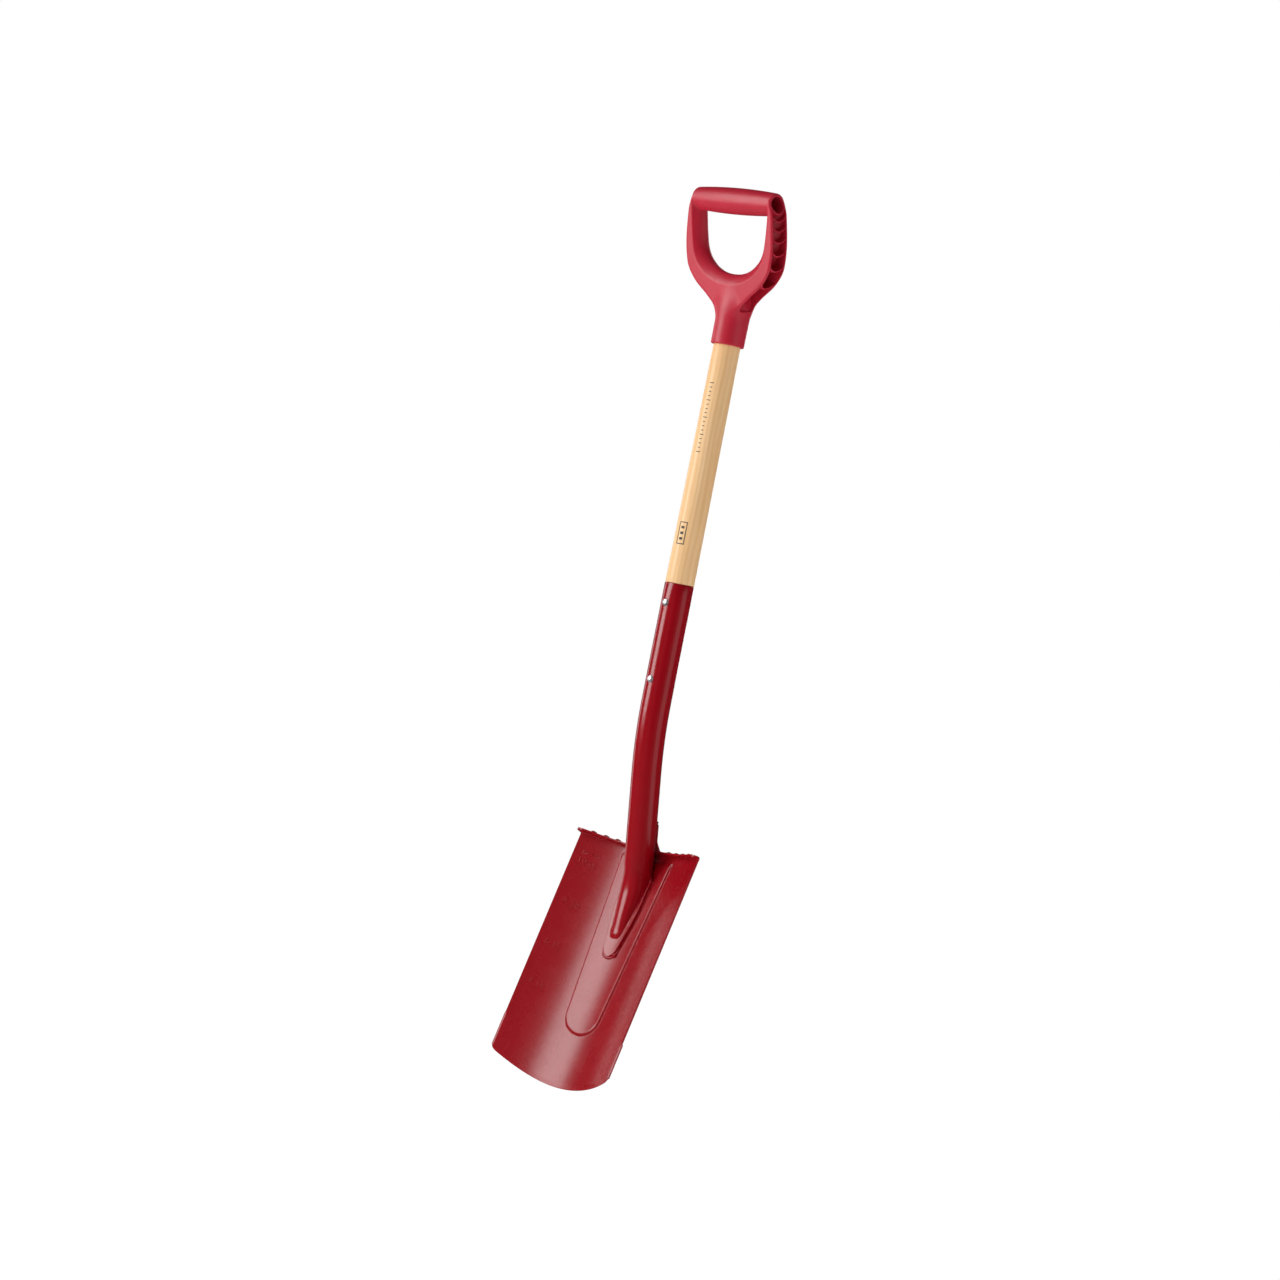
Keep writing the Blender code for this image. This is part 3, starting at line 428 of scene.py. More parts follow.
def ash_wood():
    """Straight-grained ash: broad growth rings, fine pores along the shaft, clear lacquer."""
    n = Nodes("spade_ash")
    wander = n.noise(3.0, 2, stretch=(6, 6, 1.6))
    across = n.add("ShaderNodeSeparateXYZ")
    n.link(n.where, across.inputs[0])
    side = n.math("ADD", n.math("MULTIPLY", across.outputs["X"], 0.86),
                  n.math("MULTIPLY", across.outputs["Y"], 0.5))
    shift = n.math("MULTIPLY", wander, 0.02)
    phase = n.math("MULTIPLY", n.math("ADD", side, shift), 2 * math.pi / 0.0052)
    rings = n.remap(n.math("SINE", phase, 0.0), -1, 1, 0, 1)
    rings = n.math("POWER", rings, 1.7)
    streak = n.noise(1.0, 4, stretch=(520, 520, 9))
    pores = n.noise(1.0, 3, stretch=(1900, 1900, 55))
    patch = n.noise(1.0, 3, stretch=(70, 70, 5))
    colour = n.ramp(patch, [(0.25, (0.85, 0.49, 0.21)), (0.5, (0.92, 0.58, 0.29)),
                            (0.75, (0.95, 0.65, 0.37))])
    colour = n.mix(n.math("MULTIPLY", rings, 0.42), colour, (0.77, 0.42, 0.16))
    colour = n.mix(n.remap(streak, 0.45, 0.75, 0, 0.42), colour, (0.74, 0.47, 0.22))
    colour = n.mix(n.remap(pores, 0.62, 0.78, 0, 0.4), colour, (0.52, 0.30, 0.13))
    n.set(Base_Color=colour, Specular_IOR_Level=0.4, IOR=1.5, Coat_Weight=0.2, Coat_Roughness=0.28)
    n.set(Roughness=n.remap(streak, 0.3, 0.7, 0.38, 0.5))
    n.bump((streak, 0.00012, 0.25), (pores, 0.00006, 0.3))
    return n.material


def bright_steel():
    n = Nodes("spade_bright_steel")
    spin = n.noise(1.0, 3, stretch=(700, 6000, 700))
    tint = n.mix(n.remap(n.noise(200, 3), 0.3, 0.7, 0, 1), (0.86, 0.86, 0.88), (0.93, 0.93, 0.95))
    n.set(Base_Color=tint, Metallic=0.85, Roughness=n.remap(spin, 0.3, 0.7, 0.26, 0.40))
    n.bump((spin, 0.00002, 0.4))
    return n.material


def stamp_ink():
    """Thin black ink, worn where the wood's pores took less of it."""
    n = Nodes("spade_stamp_ink")
    worn = n.noise(1500, 3)
    colour = n.mix(n.remap(worn, 0.5, 0.72, 0, 0.8), (0.05, 0.045, 0.04), (0.36, 0.25, 0.14))
    n.set(Base_Color=colour, Roughness=n.remap(worn, 0.3, 0.7, 0.4, 0.6), Specular_IOR_Level=0.4)
    n.bump((worn, 0.00002, 0.3))
    return n.material


# ---- blade

def dish(x):
    return -BLADE_SAG * (2 * x / BLADE_WIDTH) ** 2


def panel_half(z):
    rise = np.clip((z - PANEL_BOTTOM_Z) / (TREAD_Z - PANEL_BOTTOM_Z), 0.0, 1.0)
    return PANEL_BOTTOM_HALF + (PANEL_TOP_HALF - PANEL_BOTTOM_HALF) * rise


def panel_height(x, z):
    side = panel_half(z) - np.abs(x)
    floor = PANEL_BOTTOM_Z + PANEL_BOTTOM_SAG * (x / PANEL_BOTTOM_HALF) ** 2
    inside = smooth_min(side, z - floor, PANEL_CORNER)
    fade = (TREAD_Z - TREAD_FOLD_RADIUS - PANEL_END_GAP - z) / PANEL_END_SLOPE
    return PANEL_RAISE * smooth_step(0.5 + inside / PANEL_SLOPE) * smooth_step(fade)


def blade_front(x, z):
    """The sheet's front face, as y in the blade's frame."""
    return dish(x) - panel_height(x, z) - SHEET / 2


def blade_columns(z):
    wall = panel_half(z)
    side = BLADE_WIDTH / 2
    return spaced(0.0, (TREAD_INNER_X, 6), (wall - PANEL_STEP_HALF, 4), (wall + PANEL_STEP_HALF, 12),
                  (side - 1.8 * MM, 16), (side, 3))


def blade_row(height):
    """One row of the sheet. Height counts from the curved cutting edge and ends at the fold."""
    half = np.array(blade_columns(height))
    x = np.concatenate([-half[:0:-1], half])
    squeeze = 1.0
    if height < CORNER_RADIUS:
        drop = CORNER_RADIUS - math.sqrt(CORNER_RADIUS ** 2 - (CORNER_RADIUS - height) ** 2)
        squeeze = 1 - drop / (BLADE_WIDTH / 2)
    x = x * squeeze
    edge = EDGE_RISE * (2 * x / BLADE_WIDTH) ** 2
    z = height + edge * (1 - height / FOLD_START)
    y = dish(x) - panel_height(x, z)
    out = np.clip((np.abs(x) - BLADE_WIDTH / 2 + GRIND_WIDTH) / GRIND_WIDTH, 0, 1)
    ground = out * smooth_step((z - GRIND_LOW) / GRIND_FADE) * smooth_step((GRIND_HIGH - z) / GRIND_FADE)
    x = x + np.sign(x) * GRIND_STEP * ground
    y = y + GRIND_BACK * ground
    return np.stack([x, y, z], 1)


def tread_strip(side, feet_x):
    """Rows of one folded tread, from the fold's start to its front edge."""
    rows = []
    flat = TREAD_REACH - TREAD_FOLD_RADIUS
    stations = [(TREAD_FOLD_RADIUS * (1 - math.cos(t)), TREAD_FOLD_RADIUS * math.sin(t))
                for t in np.linspace(0, math.pi / 2, 10)[1:]]
    stations += [(TREAD_FOLD_RADIUS + flat * share, TREAD_FOLD_RADIUS)
                 for share in (0.3, 0.55, 0.75, 0.88, 0.96, 1)]
    for out, up in stations:
        spread = TREAD_OVERHANG * smooth_step(up / TREAD_FOLD_RADIUS)
        deep = max(out - (TREAD_REACH - TREAD_CORNER), 0.0)
        spread -= TREAD_CORNER - math.sqrt(TREAD_CORNER ** 2 - deep ** 2)
        near = smooth_step((np.abs(feet_x) - BLADE_WIDTH / 2 + TREAD_SPREAD) / TREAD_SPREAD)
        x = feet_x + side * spread * near
        slope = 2 * dish(x) / x
        size = np.sqrt(slope ** 2 + 1)
        rows.append(coords(x + slope / size * out, dish(x) - out / size, FOLD_START + up))
    return rows


def tube_axis_on_blade(z):
    return -(z - MEET_Z) * math.tan(MEET_ANGLE)


def tab_rows(inner):
    hug_radius = TUBE_RADIUS + GAP + SHEET / 2
    rows = []
    fillet_top = TREAD_FOLD_RADIUS + TAB_FILLET
    for up in spaced(0.0, (TREAD_FOLD_RADIUS, 4), (fillet_top, 7), (TAB_HEIGHT, 14))[1:]:
        half = TAB_HALF
        if up < fillet_top:
            below = min(fillet_top - up, TAB_FILLET)
            half += TAB_FILLET - math.sqrt(TAB_FILLET ** 2 - below ** 2)
        if up > TAB_HEIGHT - TAB_CORNER:
            half -= TAB_CORNER - math.sqrt(max(TAB_CORNER ** 2 - (up - TAB_HEIGHT + TAB_CORNER) ** 2, 0))
        x = half * np.arange(-inner, inner + 1) / inner
        z = FOLD_START + up
        hug = tube_axis_on_blade(z) + np.sqrt(hug_radius ** 2 - x ** 2) / math.cos(MEET_ANGLE)
        share = smooth_step(up / TAB_JOIN)
        rows.append(coords(x, dish(x) * (1 - share) + hug * share, z))
    return rows


def grid_faces(rows):
    """Quads over rows of vertex numbers."""
    return [(low[c], low[c + 1], high[c + 1], high[c])
            for low, high in zip(rows, rows[1:]) for c in range(len(low) - 1)]


def make_blade(material):
    verts = []

    def number(row):
        start = len(verts)
        verts.extend(row)
        return list(range(start, len(verts)))

    heights = spaced(0.0, (CORNER_RADIUS, CORNER_ROWS), (PANEL_BOTTOM_Z - 13 * MM, 26),
                     (PANEL_BOTTOM_Z + 20 * MM, 44), (FOLD_START - 22 * MM, 44), (FOLD_START, 16))
    grid = [number(blade_row(height)) for height in heights]
    faces = grid_faces(grid)
    top = grid[-1]
    centre = len(top) // 2
    inner = 6
    for side in (-1, 1):
        columns = range(centre + inner, len(top)) if side > 0 else range(centre - inner, -1, -1)
        strip = [[top[column] for column in columns]]
        feet_x = np.array([verts[vertex][0] for vertex in strip[0]])
        strip += [number(row) for row in tread_strip(side, feet_x)]
        faces += grid_faces(strip)
    faces += grid_faces([top[centre - inner:centre + inner + 1]] + [number(row) for row in tab_rows(inner)])
    blade = new_piece("blade_sheet", moved(BLADE, verts), faces, material, ["blade"], 60)
    turn_outward(blade)
    group = blade.vertex_groups.new(name="thickness")
    group.add(range(len(verts)), 1.0, "REPLACE")
    for row, height in zip(grid, heights[:CORNER_ROWS + 1]):
        share = EDGE_THIN + (1 - EDGE_THIN) * height / CORNER_RADIUS
        group.add(row, min(share, 1.0), "REPLACE")
    solid = blade.modifiers.new("sheet", "SOLIDIFY")
    solid.thickness = SHEET
    solid.offset = 0
    solid.use_even_offset = True
    solid.vertex_group = group.name
    soften = blade.modifiers.new("soft_edges", "BEVEL")
    soften.width = SOFT_EDGE
    soften.segments = 2
    soften.limit_method = "ANGLE"
    soften.angle_limit = math.radians(55)
    return blade


def make_bumps(material):
    """Pressed domes on the treads, each with a small fillet at its foot."""
    profile = [(BUMP_RADIUS * share, rise) for share, rise in BUMP_FOOT]
    profile += [(BUMP_RADIUS * 0.93 * math.cos(t), BUMP_DOME_Z + (BUMP_HEIGHT - BUMP_DOME_Z) * math.sin(t))
                for t in np.linspace(0.15, 1.52, 9)]
    rings = lathe_rings(profile, BUMP_SIDES)
    verts = []
    faces = []
    for side, x in itertools.product((-1, 1), BUMP_X):
        slope = 2 * dish(x * side) / (x * side)
        size = math.sqrt(slope ** 2 + 1)
        out = 0.55 * TREAD_REACH
        place = (side * x + slope / size * out, dish(x) - out / size, TREAD_Z)
        faces += ring_faces(len(rings), BUMP_SIDES, len(verts))
        verts += [tuple(point + np.array(place)) for ring in rings for point in ring]
    return turn_outward(new_piece("tread_bumps", moved(BLADE, verts), faces, material))


MARK_EXTRUDE = 0.25 * MM
MARK_BEVEL = 0.28 * MM
MARK_OFFSET = -0.1 * MM
MARK_SINK = 0.12 * MM
MARK_FOOT = -0.35 * MM
BAR_MARK_HALF = 0.55 * MM
BAR_MARK_RISE = 0.45 * MM
BAR_MARK_FOOT = -0.4 * MM

# (text, left edge x, baseline height, size) in mm; a bar lies under each number
MARKS = [("in", -84.5, 266.8, 9.0), ("cm", -74.5, 266.8, 9.0)]
MARKS += [(text, -84.8, height, 10.6)
          for text, height in (("10", 256), ("8", 205.2), ("6", 153.6), ("4", 103.6))]
MARKS += [(text, -74.5, height, 10.6)
          for text, height in (("25", 252), ("20", 202), ("15", 152), ("10", 102))]
BARS = [(-85.0, -76.2, height) for height in (254, 203.2, 152.4, 101.6)]
BARS += [(-75.0, -64.4, height) for height in (250, 200, 150, 100)]


def text_mesh(text, size):
    curve = bpy.data.curves.new("mark_text", "FONT")
    curve.body = text
    curve.size = size * MM
    curve.extrude = MARK_EXTRUDE
    curve.bevel_depth = MARK_BEVEL
    curve.bevel_resolution = 2
    curve.offset = MARK_OFFSET
    curve.resolution_u = 6
    source = new_object("mark_text", curve)
    bpy.context.view_layer.update()
    mesh = bpy.data.meshes.new_from_object(source.evaluated_get(bpy.context.evaluated_depsgraph_get()))
    points = np.array([vertex.co for vertex in mesh.vertices])
    faces = [tuple(polygon.vertices) for polygon in mesh.polygons]
    bpy.data.objects.remove(source)
    bpy.data.curves.remove(curve)
    bpy.data.meshes.remove(mesh)
    return points, faces


def bar_mesh(left, right, steps=10):
    """A low rounded bar along x, in the same layout as the text."""
    section = [(BAR_MARK_HALF * math.cos(t), BAR_MARK_RISE * math.sin(t)) for t in np.linspace(0, math.pi, 9)]
    section += [(-BAR_MARK_HALF, BAR_MARK_FOOT), (BAR_MARK_HALF, BAR_MARK_FOOT)]
    rings = [[(x, v, t) for v, t in section] for x in np.linspace(left, right, steps)]
    return np.array(rings).reshape(-1, 3), ring_faces(steps, len(section))


def make_marks(material):
    """Raised numbers of the depth scale, laid on the blade's front face."""
    verts = []
    faces = []

    def lay(points, new_faces, base):
        x, v, rise = points[:, 0], points[:, 1], points[:, 2]
        z = v + base
        y = blade_front(x, z) - np.maximum(rise - MARK_SINK, MARK_FOOT)
        start = len(verts)
        verts.extend(np.stack([x, y, z], 1))
        faces.extend(tuple(index + start for index in face) for face in new_faces)

    for text, left, height, size in MARKS:
        points, new_faces = text_mesh(text, size)
        points[:, 0] += left * MM - points[:, 0].min()
        lay(points, new_faces, height * MM)
    for left, right, height in BARS:
        points, new_faces = bar_mesh(left * MM, right * MM)
        lay(points, new_faces, height * MM)
    return turn_outward(new_piece("depth_marks", moved(BLADE, verts), faces, material))


# ---- socket tube

FRONT_POINTS = 73
BACK_POINTS = 31
FRONT_TURN = math.radians(114)


def ring_angles():
    front = np.linspace(-FRONT_TURN, FRONT_TURN, FRONT_POINTS)
    back = FRONT_TURN + (2 * math.pi - 2 * FRONT_TURN) * np.arange(1, BACK_POINTS + 1) / (BACK_POINTS + 1)
    return np.concatenate([front, back])


def seat(x):
    return dish(x) - PANEL_RAISE - SHEET / 2 - GAP


def round_ring(z, radius, lift):
    angles = ring_angles()
    x = radius * np.sin(angles)
    y = tube_axis_on_blade(z) - radius / math.cos(MEET_ANGLE) * np.cos(angles)
    return coords(x, smooth_min(y, seat(x) - lift, SEAT_BLEND), z)


def upper_rings(radius, top_z):
    half_bend = BEND_LENGTH / 2
    bend_radius = BEND_LENGTH / BEND_ANGLE
    frames = [(0.0, z, 0.0) for z in np.linspace(top_z, BEND_Z + half_bend, 6)]
    for turn in BEND_ANGLE * np.arange(1, BEND_STEPS + 1) / BEND_STEPS:
        frames.append((bend_radius * (1 - math.cos(turn)),
                       BEND_Z + half_bend - bend_radius * math.sin(turn), turn))
    angles = ring_angles()
    rings = []
    for y, z, turn in frames:
        forward = radius * np.cos(angles)
        rings.append(np.stack([radius * np.sin(angles), y - forward * math.cos(turn),
                               z - forward * math.sin(turn)], 1))
    return rings


TONGUE_OUTLINE = [(TONGUE_TIP_Z + up * MM, WING_HALF * share) for up, share in TONGUE_PROFILE]


def tongue_half(z):
    heights, halves = zip(*TONGUE_OUTLINE)
    return float(np.interp(z, heights, halves))


def tongue_ring(z):
    """Ridge and wings in front, seat behind. The ridge ends in a rounded toe."""
    half = tongue_half(z)
    share = np.linspace(-1, 1, FRONT_POINTS)
    x = half * np.sin(share * math.pi / 2)
    toe = np.clip((z - TONGUE_TOE_Z) / TOE_LENGTH, 0, 1)
    toe = math.sqrt(1 - (1 - toe) ** 2)
    straight = seat(0) - TONGUE_THICKNESS - (tube_axis_on_blade(z) - TUBE_RADIUS / math.cos(MEET_ANGLE))
    line = TOE_HEIGHT + RIDGE_SLOPE * max(z - TONGUE_TOE_Z - TOE_LENGTH, 0.0)
    height = smooth_max(straight, line, RIDGE_BLEND) * toe
    ridge_half = float(np.interp(z - TONGUE_TOE_Z, *zip(*RIDGE_HALVES))) * (0.35 + 0.65 * toe)
    inside = np.sqrt(np.maximum(1 - (x / ridge_half) ** 2, 0.0))
    ridge = height * inside - RIDGE_FOOT * (1 - inside * toe)
    edge = np.sqrt(np.clip((half - np.abs(x)) / WING_ROUNDING, 0, 1))
    rise = TONGUE_THICKNESS * (0.45 + 0.55 * edge) + smooth_max(ridge, 0.0 * x, RIDGE_FOOT_BLEND)
    front = coords(x, seat(x) - rise, z)
    x = half * np.linspace(1, -1, BACK_POINTS)
    back = coords(x, seat(x), z)
    return np.concatenate([front, back])


def make_tube(material):
    """The outside from the tongue up to the rim, then the bore back down."""
    blade_rings = [round_ring(z, TUBE_RADIUS, 0) for z in np.linspace(ROUND_TOP_Z, WING_TOP_Z + 3 * MM, 12)]
    stations = sorted(set(spaced(TONGUE_TIP_Z, (TONGUE_TIP_Z + 3 * MM, 5), (TONGUE_TOE_Z - 1 * MM, 12),
                                 (TONGUE_TOE_Z + TOE_LENGTH, 18), (WING_TOP_Z - 8 * MM, 26),
                                 (WING_TOP_Z - 1 * MM, 6))))
    blade_rings += [tongue_ring(z) for z in reversed(stations)]
    rings = upper_rings(TUBE_RADIUS, TUBE_TOP_Z - TUBE_RIM)
    rings.insert(0, upper_rings(TUBE_RADIUS - TUBE_RIM, TUBE_TOP_Z)[0])
    rings += [moved(BLADE_TO_DATUM, ring) for ring in blade_rings]
    bore = TUBE_RADIUS - TUBE_WALL
    inner = upper_rings(bore, TUBE_TOP_Z)
    for z in np.linspace(ROUND_TOP_Z, BORE_END_Z, 12):
        inner.append(moved(BLADE_TO_DATUM, round_ring(z, bore, TUBE_WALL)))
    outside = list(reversed(rings))
    return lofted("steel_tube", outside + inner, DATUM, material, ["socket_tube"], 50)


# ---- weld beads

def bead_rings(path, radii, flatten, sides=14):
    rings = []
    for index, centre in enumerate(path):
        before = path[max(index - 1, 0)]
        after = path[min(index + 1, len(path) - 1)]
        along = (after - before) / np.linalg.norm(after - before)
        aside = np.cross(along, (0, 1, 0))
        aside /= np.linalg.norm(aside)
        out = np.cross(aside, along)
        turns = np.arange(sides) * 2 * math.pi / sides
        rings.append(centre + radii[index] * (np.outer(np.cos(turns), aside)
                                              + flatten * np.outer(np.sin(turns), out)))
    return rings


def make_tongue_weld(material):
    """A thin fillet along the tongue's sides that swells into lumps round its tip."""
    outline = np.array([(half, z) for z, half in reversed(TONGUE_OUTLINE)] + [(0, TONGUE_TIP_Z - 0.4 * MM)])
    outline = smooth_path(outline[1:], 10)
    full = np.concatenate([outline, (outline * (-1, 1))[-2::-1]])
    seg = np.linalg.norm(np.diff(full, axis=0), axis=1)
    length = np.concatenate([[0], np.cumsum(seg)])
    count = 420
    s = np.linspace(0, length[-1], count)
    x = np.interp(s, length, full[:, 0])
    z = np.interp(s, length, full[:, 1])
    near_tip = smooth_step((TONGUE_TIP_Z + 12 * MM - z) / (9 * MM))
    ripple = np.abs(np.sin(s / (1.55 * MM)))
    lumps = 0.5 + 0.5 * np.sin(s / (2.1 * MM) + 0.8 * np.sin(s / (3.7 * MM)))
    radii = (0.75 + 0.10 * ripple + near_tip * (0.7 + 0.9 * lumps)) * MM
    along = np.stack([np.gradient(x), np.gradient(z)], 1)
    along /= np.linalg.norm(along, axis=1)[:, None]
    outward = radii * 0.35 + near_tip * 0.3 * MM
    x = x + along[:, 1] * outward * -1
    z = z + along[:, 0] * outward
    y = seat(x) + GAP - radii * 0.35
    path = moved(BLADE_TO_DATUM, np.stack([x, y, z], 1))
    rings = bead_rings(path, radii, 0.9)
    return lofted("tongue_weld_bead", rings, DATUM, material, ["weld_tongue"], 60)


def make_tab_weld(material):
    z = FOLD_START + TAB_HEIGHT + 1.0 * MM
    turns = np.linspace(-1, 1, 120) * math.asin(TAB_HALF / TUBE_RADIUS)
    radii = (1.15 + 0.4 * np.abs(np.sin(turns * 16 + 0.4 * np.sin(turns * 7)))) * MM
    radii *= np.sqrt(np.clip(1.02 - (np.abs(turns) / turns.max()) ** 8, 0.05, 1))
    hug = TUBE_RADIUS + 0.8 * MM
    y = tube_axis_on_blade(z) + hug / math.cos(MEET_ANGLE) * np.cos(turns)
    path = moved(BLADE_TO_DATUM, coords(hug * np.sin(turns), y, z))
    rings = bead_rings(path, radii, 1.0)
    return lofted("tab_weld_bead", rings, DATUM, material, ["weld_tab"], 60)


# ---- shaft and fixings

def make_shaft(material):
    in_tube = TUBE_RADIUS - TUBE_WALL - SHAFT_FIT
    bottom = RIVET_Z["rivet_lower"] - SHAFT_END_BELOW_RIVET
    shoulder = TUBE_TOP_Z + GAP
    top = SOCKET_BOTTOM_Z + SOCKET_DEPTH - GAP
    profile = [(in_tube - SHAFT_CHAMFER, bottom), (in_tube, bottom + SHAFT_CHAMFER), (in_tube, shoulder),
               (SHAFT_RADIUS_LOW - 0.6 * MM, shoulder), (SHAFT_RADIUS_LOW - 0.15 * MM, shoulder + 0.2 * MM)]
    for share in np.linspace(0, 1, 30):
        radius = SHAFT_RADIUS_LOW + (SHAFT_RADIUS_HIGH - SHAFT_RADIUS_LOW) * share
        profile.append((radius, shoulder + 0.7 * MM + (TAPER_TOP_Z - shoulder) * share))
    profile += [(SHAFT_RADIUS_HIGH, top - SHAFT_CHAMFER), (SHAFT_RADIUS_HIGH - SHAFT_CHAMFER, top)]
    return lofted("ash_shaft", lathe_rings(profile, 96), DATUM, material, ["shaft"])


def shaft_radius(z):
    share = (z - TUBE_TOP_Z) / (TAPER_TOP_Z - TUBE_TOP_Z)
    return SHAFT_RADIUS_LOW + (SHAFT_RADIUS_HIGH - SHAFT_RADIUS_LOW) * share


def stamp_patch(verts, faces, turn_low, turn_high, z_low, z_high):
    """A film of ink on the shaft, as a thin closed shell. Turn is counted from the front."""
    turns = np.linspace(turn_low, turn_high, 6)
    heights = np.linspace(z_low, z_high, 4)
    start = len(verts)
    for lift in (-0.05 * MM, 0.045 * MM):
        for z in heights:
            radius = shaft_radius(z) + lift
            verts.extend((radius * math.sin(t), -radius * math.cos(t), z) for t in turns)
    columns, rows = len(turns), len(heights)
    layer = columns * rows

    def at(level, row, column):
        return start + level * layer + row * columns + column

    for r, c in itertools.product(range(rows - 1), range(columns - 1)):
        for level in (0, 1):
            faces.append((at(level, r, c), at(level, r, c + 1), at(level, r + 1, c + 1), at(level, r + 1, c)))
    rim = [(0, c) for c in range(columns)] + [(r, columns - 1) for r in range(1, rows)]
    rim += [(rows - 1, c) for c in range(columns - 2, -1, -1)] + [(r, 0) for r in range(rows - 2, 0, -1)]
    for (r0, c0), (r1, c1) in zip(rim, rim[1:] + rim[:1]):
        faces.append((at(0, r0, c0), at(0, r1, c1), at(1, r1, c1), at(1, r0, c0)))


def make_stamps(material):
    """A plain ladder of ticks along the shaft and a small plain block mark below it."""
    verts = []
    faces = []
    middle = math.radians(9)
    foot = TUBE_TOP_Z + 152 * MM
    for step in range(17):
        tall = 0.10 if step % 4 else 0.17
        z = foot + step * 5 * MM
        stamp_patch(verts, faces, middle - tall, middle + tall, z, z + 1.0 * MM)
    centre = math.radians(10)
    base = TUBE_TOP_Z + 45 * MM
    for low, high, z0, z1 in ((-0.32, 0.32, 0, 1.1), (-0.32, 0.32, 24.9, 26), (-0.32, -0.25, 1.1, 24.9),
                              (0.25, 0.32, 1.1, 24.9), (-0.13, 0.13, 5, 8), (-0.13, 0.13, 11.5, 14.5),
                              (-0.13, 0.13, 18, 21)):
        stamp_patch(verts, faces, centre + low, centre + high, base + z0 * MM, base + z1 * MM)
    return turn_outward(new_piece("shaft_stamp", moved(DATUM, verts), faces, material))


def make_rivet(name, z, material):
    face = TUBE_RADIUS + RIVET_LIFT
    head = [(RIVET_SHANK, face - 0.4 * MM), (RIVET_RIM, face - 0.4 * MM), (RIVET_RIM, face + 0.35 * MM)]
    head += arc(4.05 * MM, 1.75 * MM, 0, face + 0.45 * MM, 4, 88, 12)
    tail = [(3.8 * MM, -face + 0.4 * MM)] + [(r, -z1) for r, z1 in
                                             arc(3.75 * MM, 1.5 * MM, 0, face + 0.1 * MM, 2, 88, 10)]
    profile = list(reversed(tail)) + [(RIVET_SHANK, -face + 0.4 * MM)] + head
    lay = DATUM @ Matrix.Translation((0, 0, z)) @ Matrix.Rotation(math.pi / 2, 4, "X")
    return lofted(f"{name}_head", lathe_rings(profile, FIXING_SIDES), lay, material, [name])


def make_screw(material):
    """Countersunk screw with a cross recess, driven in from behind."""
    top = SHAFT_RADIUS_HIGH + SHAFT_FIT + SOCKET_WALL - 0.8 * MM
    profile = [(0.3 * MM, SHAFT_RADIUS_HIGH - 18 * MM), (SCREW_SHANK, SHAFT_RADIUS_HIGH - 14 * MM)]
    profile += [(SCREW_SHANK, top - 2.6 * MM), (3.85 * MM, top - 0.5 * MM), (4 * MM, top - 0.3 * MM),
                (3.9 * MM, top - 0.08 * MM), (3.6 * MM, top)]
    lay = DATUM @ Matrix.Translation((0, 0, SCREW_Z)) @ Matrix.Rotation(-math.pi / 2, 4, "X")
    rings = lathe_rings(profile, FIXING_SIDES)
    screw = lofted("grip_screw_head", rings, lay, material, ["grip_screw"])
    for index, turn in enumerate((0.0, math.pi / 2)):
        bpy.ops.mesh.primitive_cube_add(size=1)
        cutter = bpy.context.active_object
        cutter.name = f"recess_{index}"
        cutter.matrix_world = lay @ Matrix.Rotation(turn, 4, "Z") @ Matrix.Translation((0, 0, top)) \
            @ Matrix.Diagonal((4.6 * MM, 1.0 * MM, 2.6 * MM, 1))
        bpy.context.view_layer.update()
        cut = screw.modifiers.new("recess", "BOOLEAN")
        cut.operation = "DIFFERENCE"
        cut.object = cutter
        bpy.context.view_layer.objects.active = screw
        bpy.ops.object.modifier_apply(modifier=cut.name)
        bpy.data.objects.remove(cutter)
    screw.data.shade_smooth()
    screw.data.set_sharp_from_angle(angle=math.radians(35))
    return screw


# ---- grip

def polygon_distance(polygon, x, z):
    """Signed distance in the plane to a closed polygon, negative inside."""
    best = np.full(x.shape, 1e9)
    inside = np.zeros(x.shape, bool)
    for (ax, az), (bx, bz) in zip(polygon, np.roll(polygon, -1, axis=0)):
        ex, ez = bx - ax, bz - az
        t = np.clip(((x - ax) * ex + (z - az) * ez) / (ex * ex + ez * ez), 0, 1)
        best = np.minimum(best, (x - ax - t * ex) ** 2 + (z - az - t * ez) ** 2)
        spans = (az > z) != (bz > z)
        if ez:
            inside ^= spans & (x < ax + (z - az) * ex / ez)
    return np.where(inside, -1, 1) * np.sqrt(best)


def mirrored(half):
    return np.concatenate([half, (half * (-1, 1))[::-1]])


def grip_plate(plate_2d, y, w):
    """The D as a plate, rounded along its edges and over the bar."""
    above = np.maximum(w - BAR_W, 0)
    thick = np.sqrt(y ** 2 + above ** 2) - D_DEPTH / 2
    across, through = plate_2d + PLATE_ROUNDING, thick + PLATE_ROUNDING
    plate = np.minimum(np.maximum(across, through), 0)
    return plate + np.sqrt(np.maximum(across, 0) ** 2 + np.maximum(through, 0) ** 2) - PLATE_ROUNDING


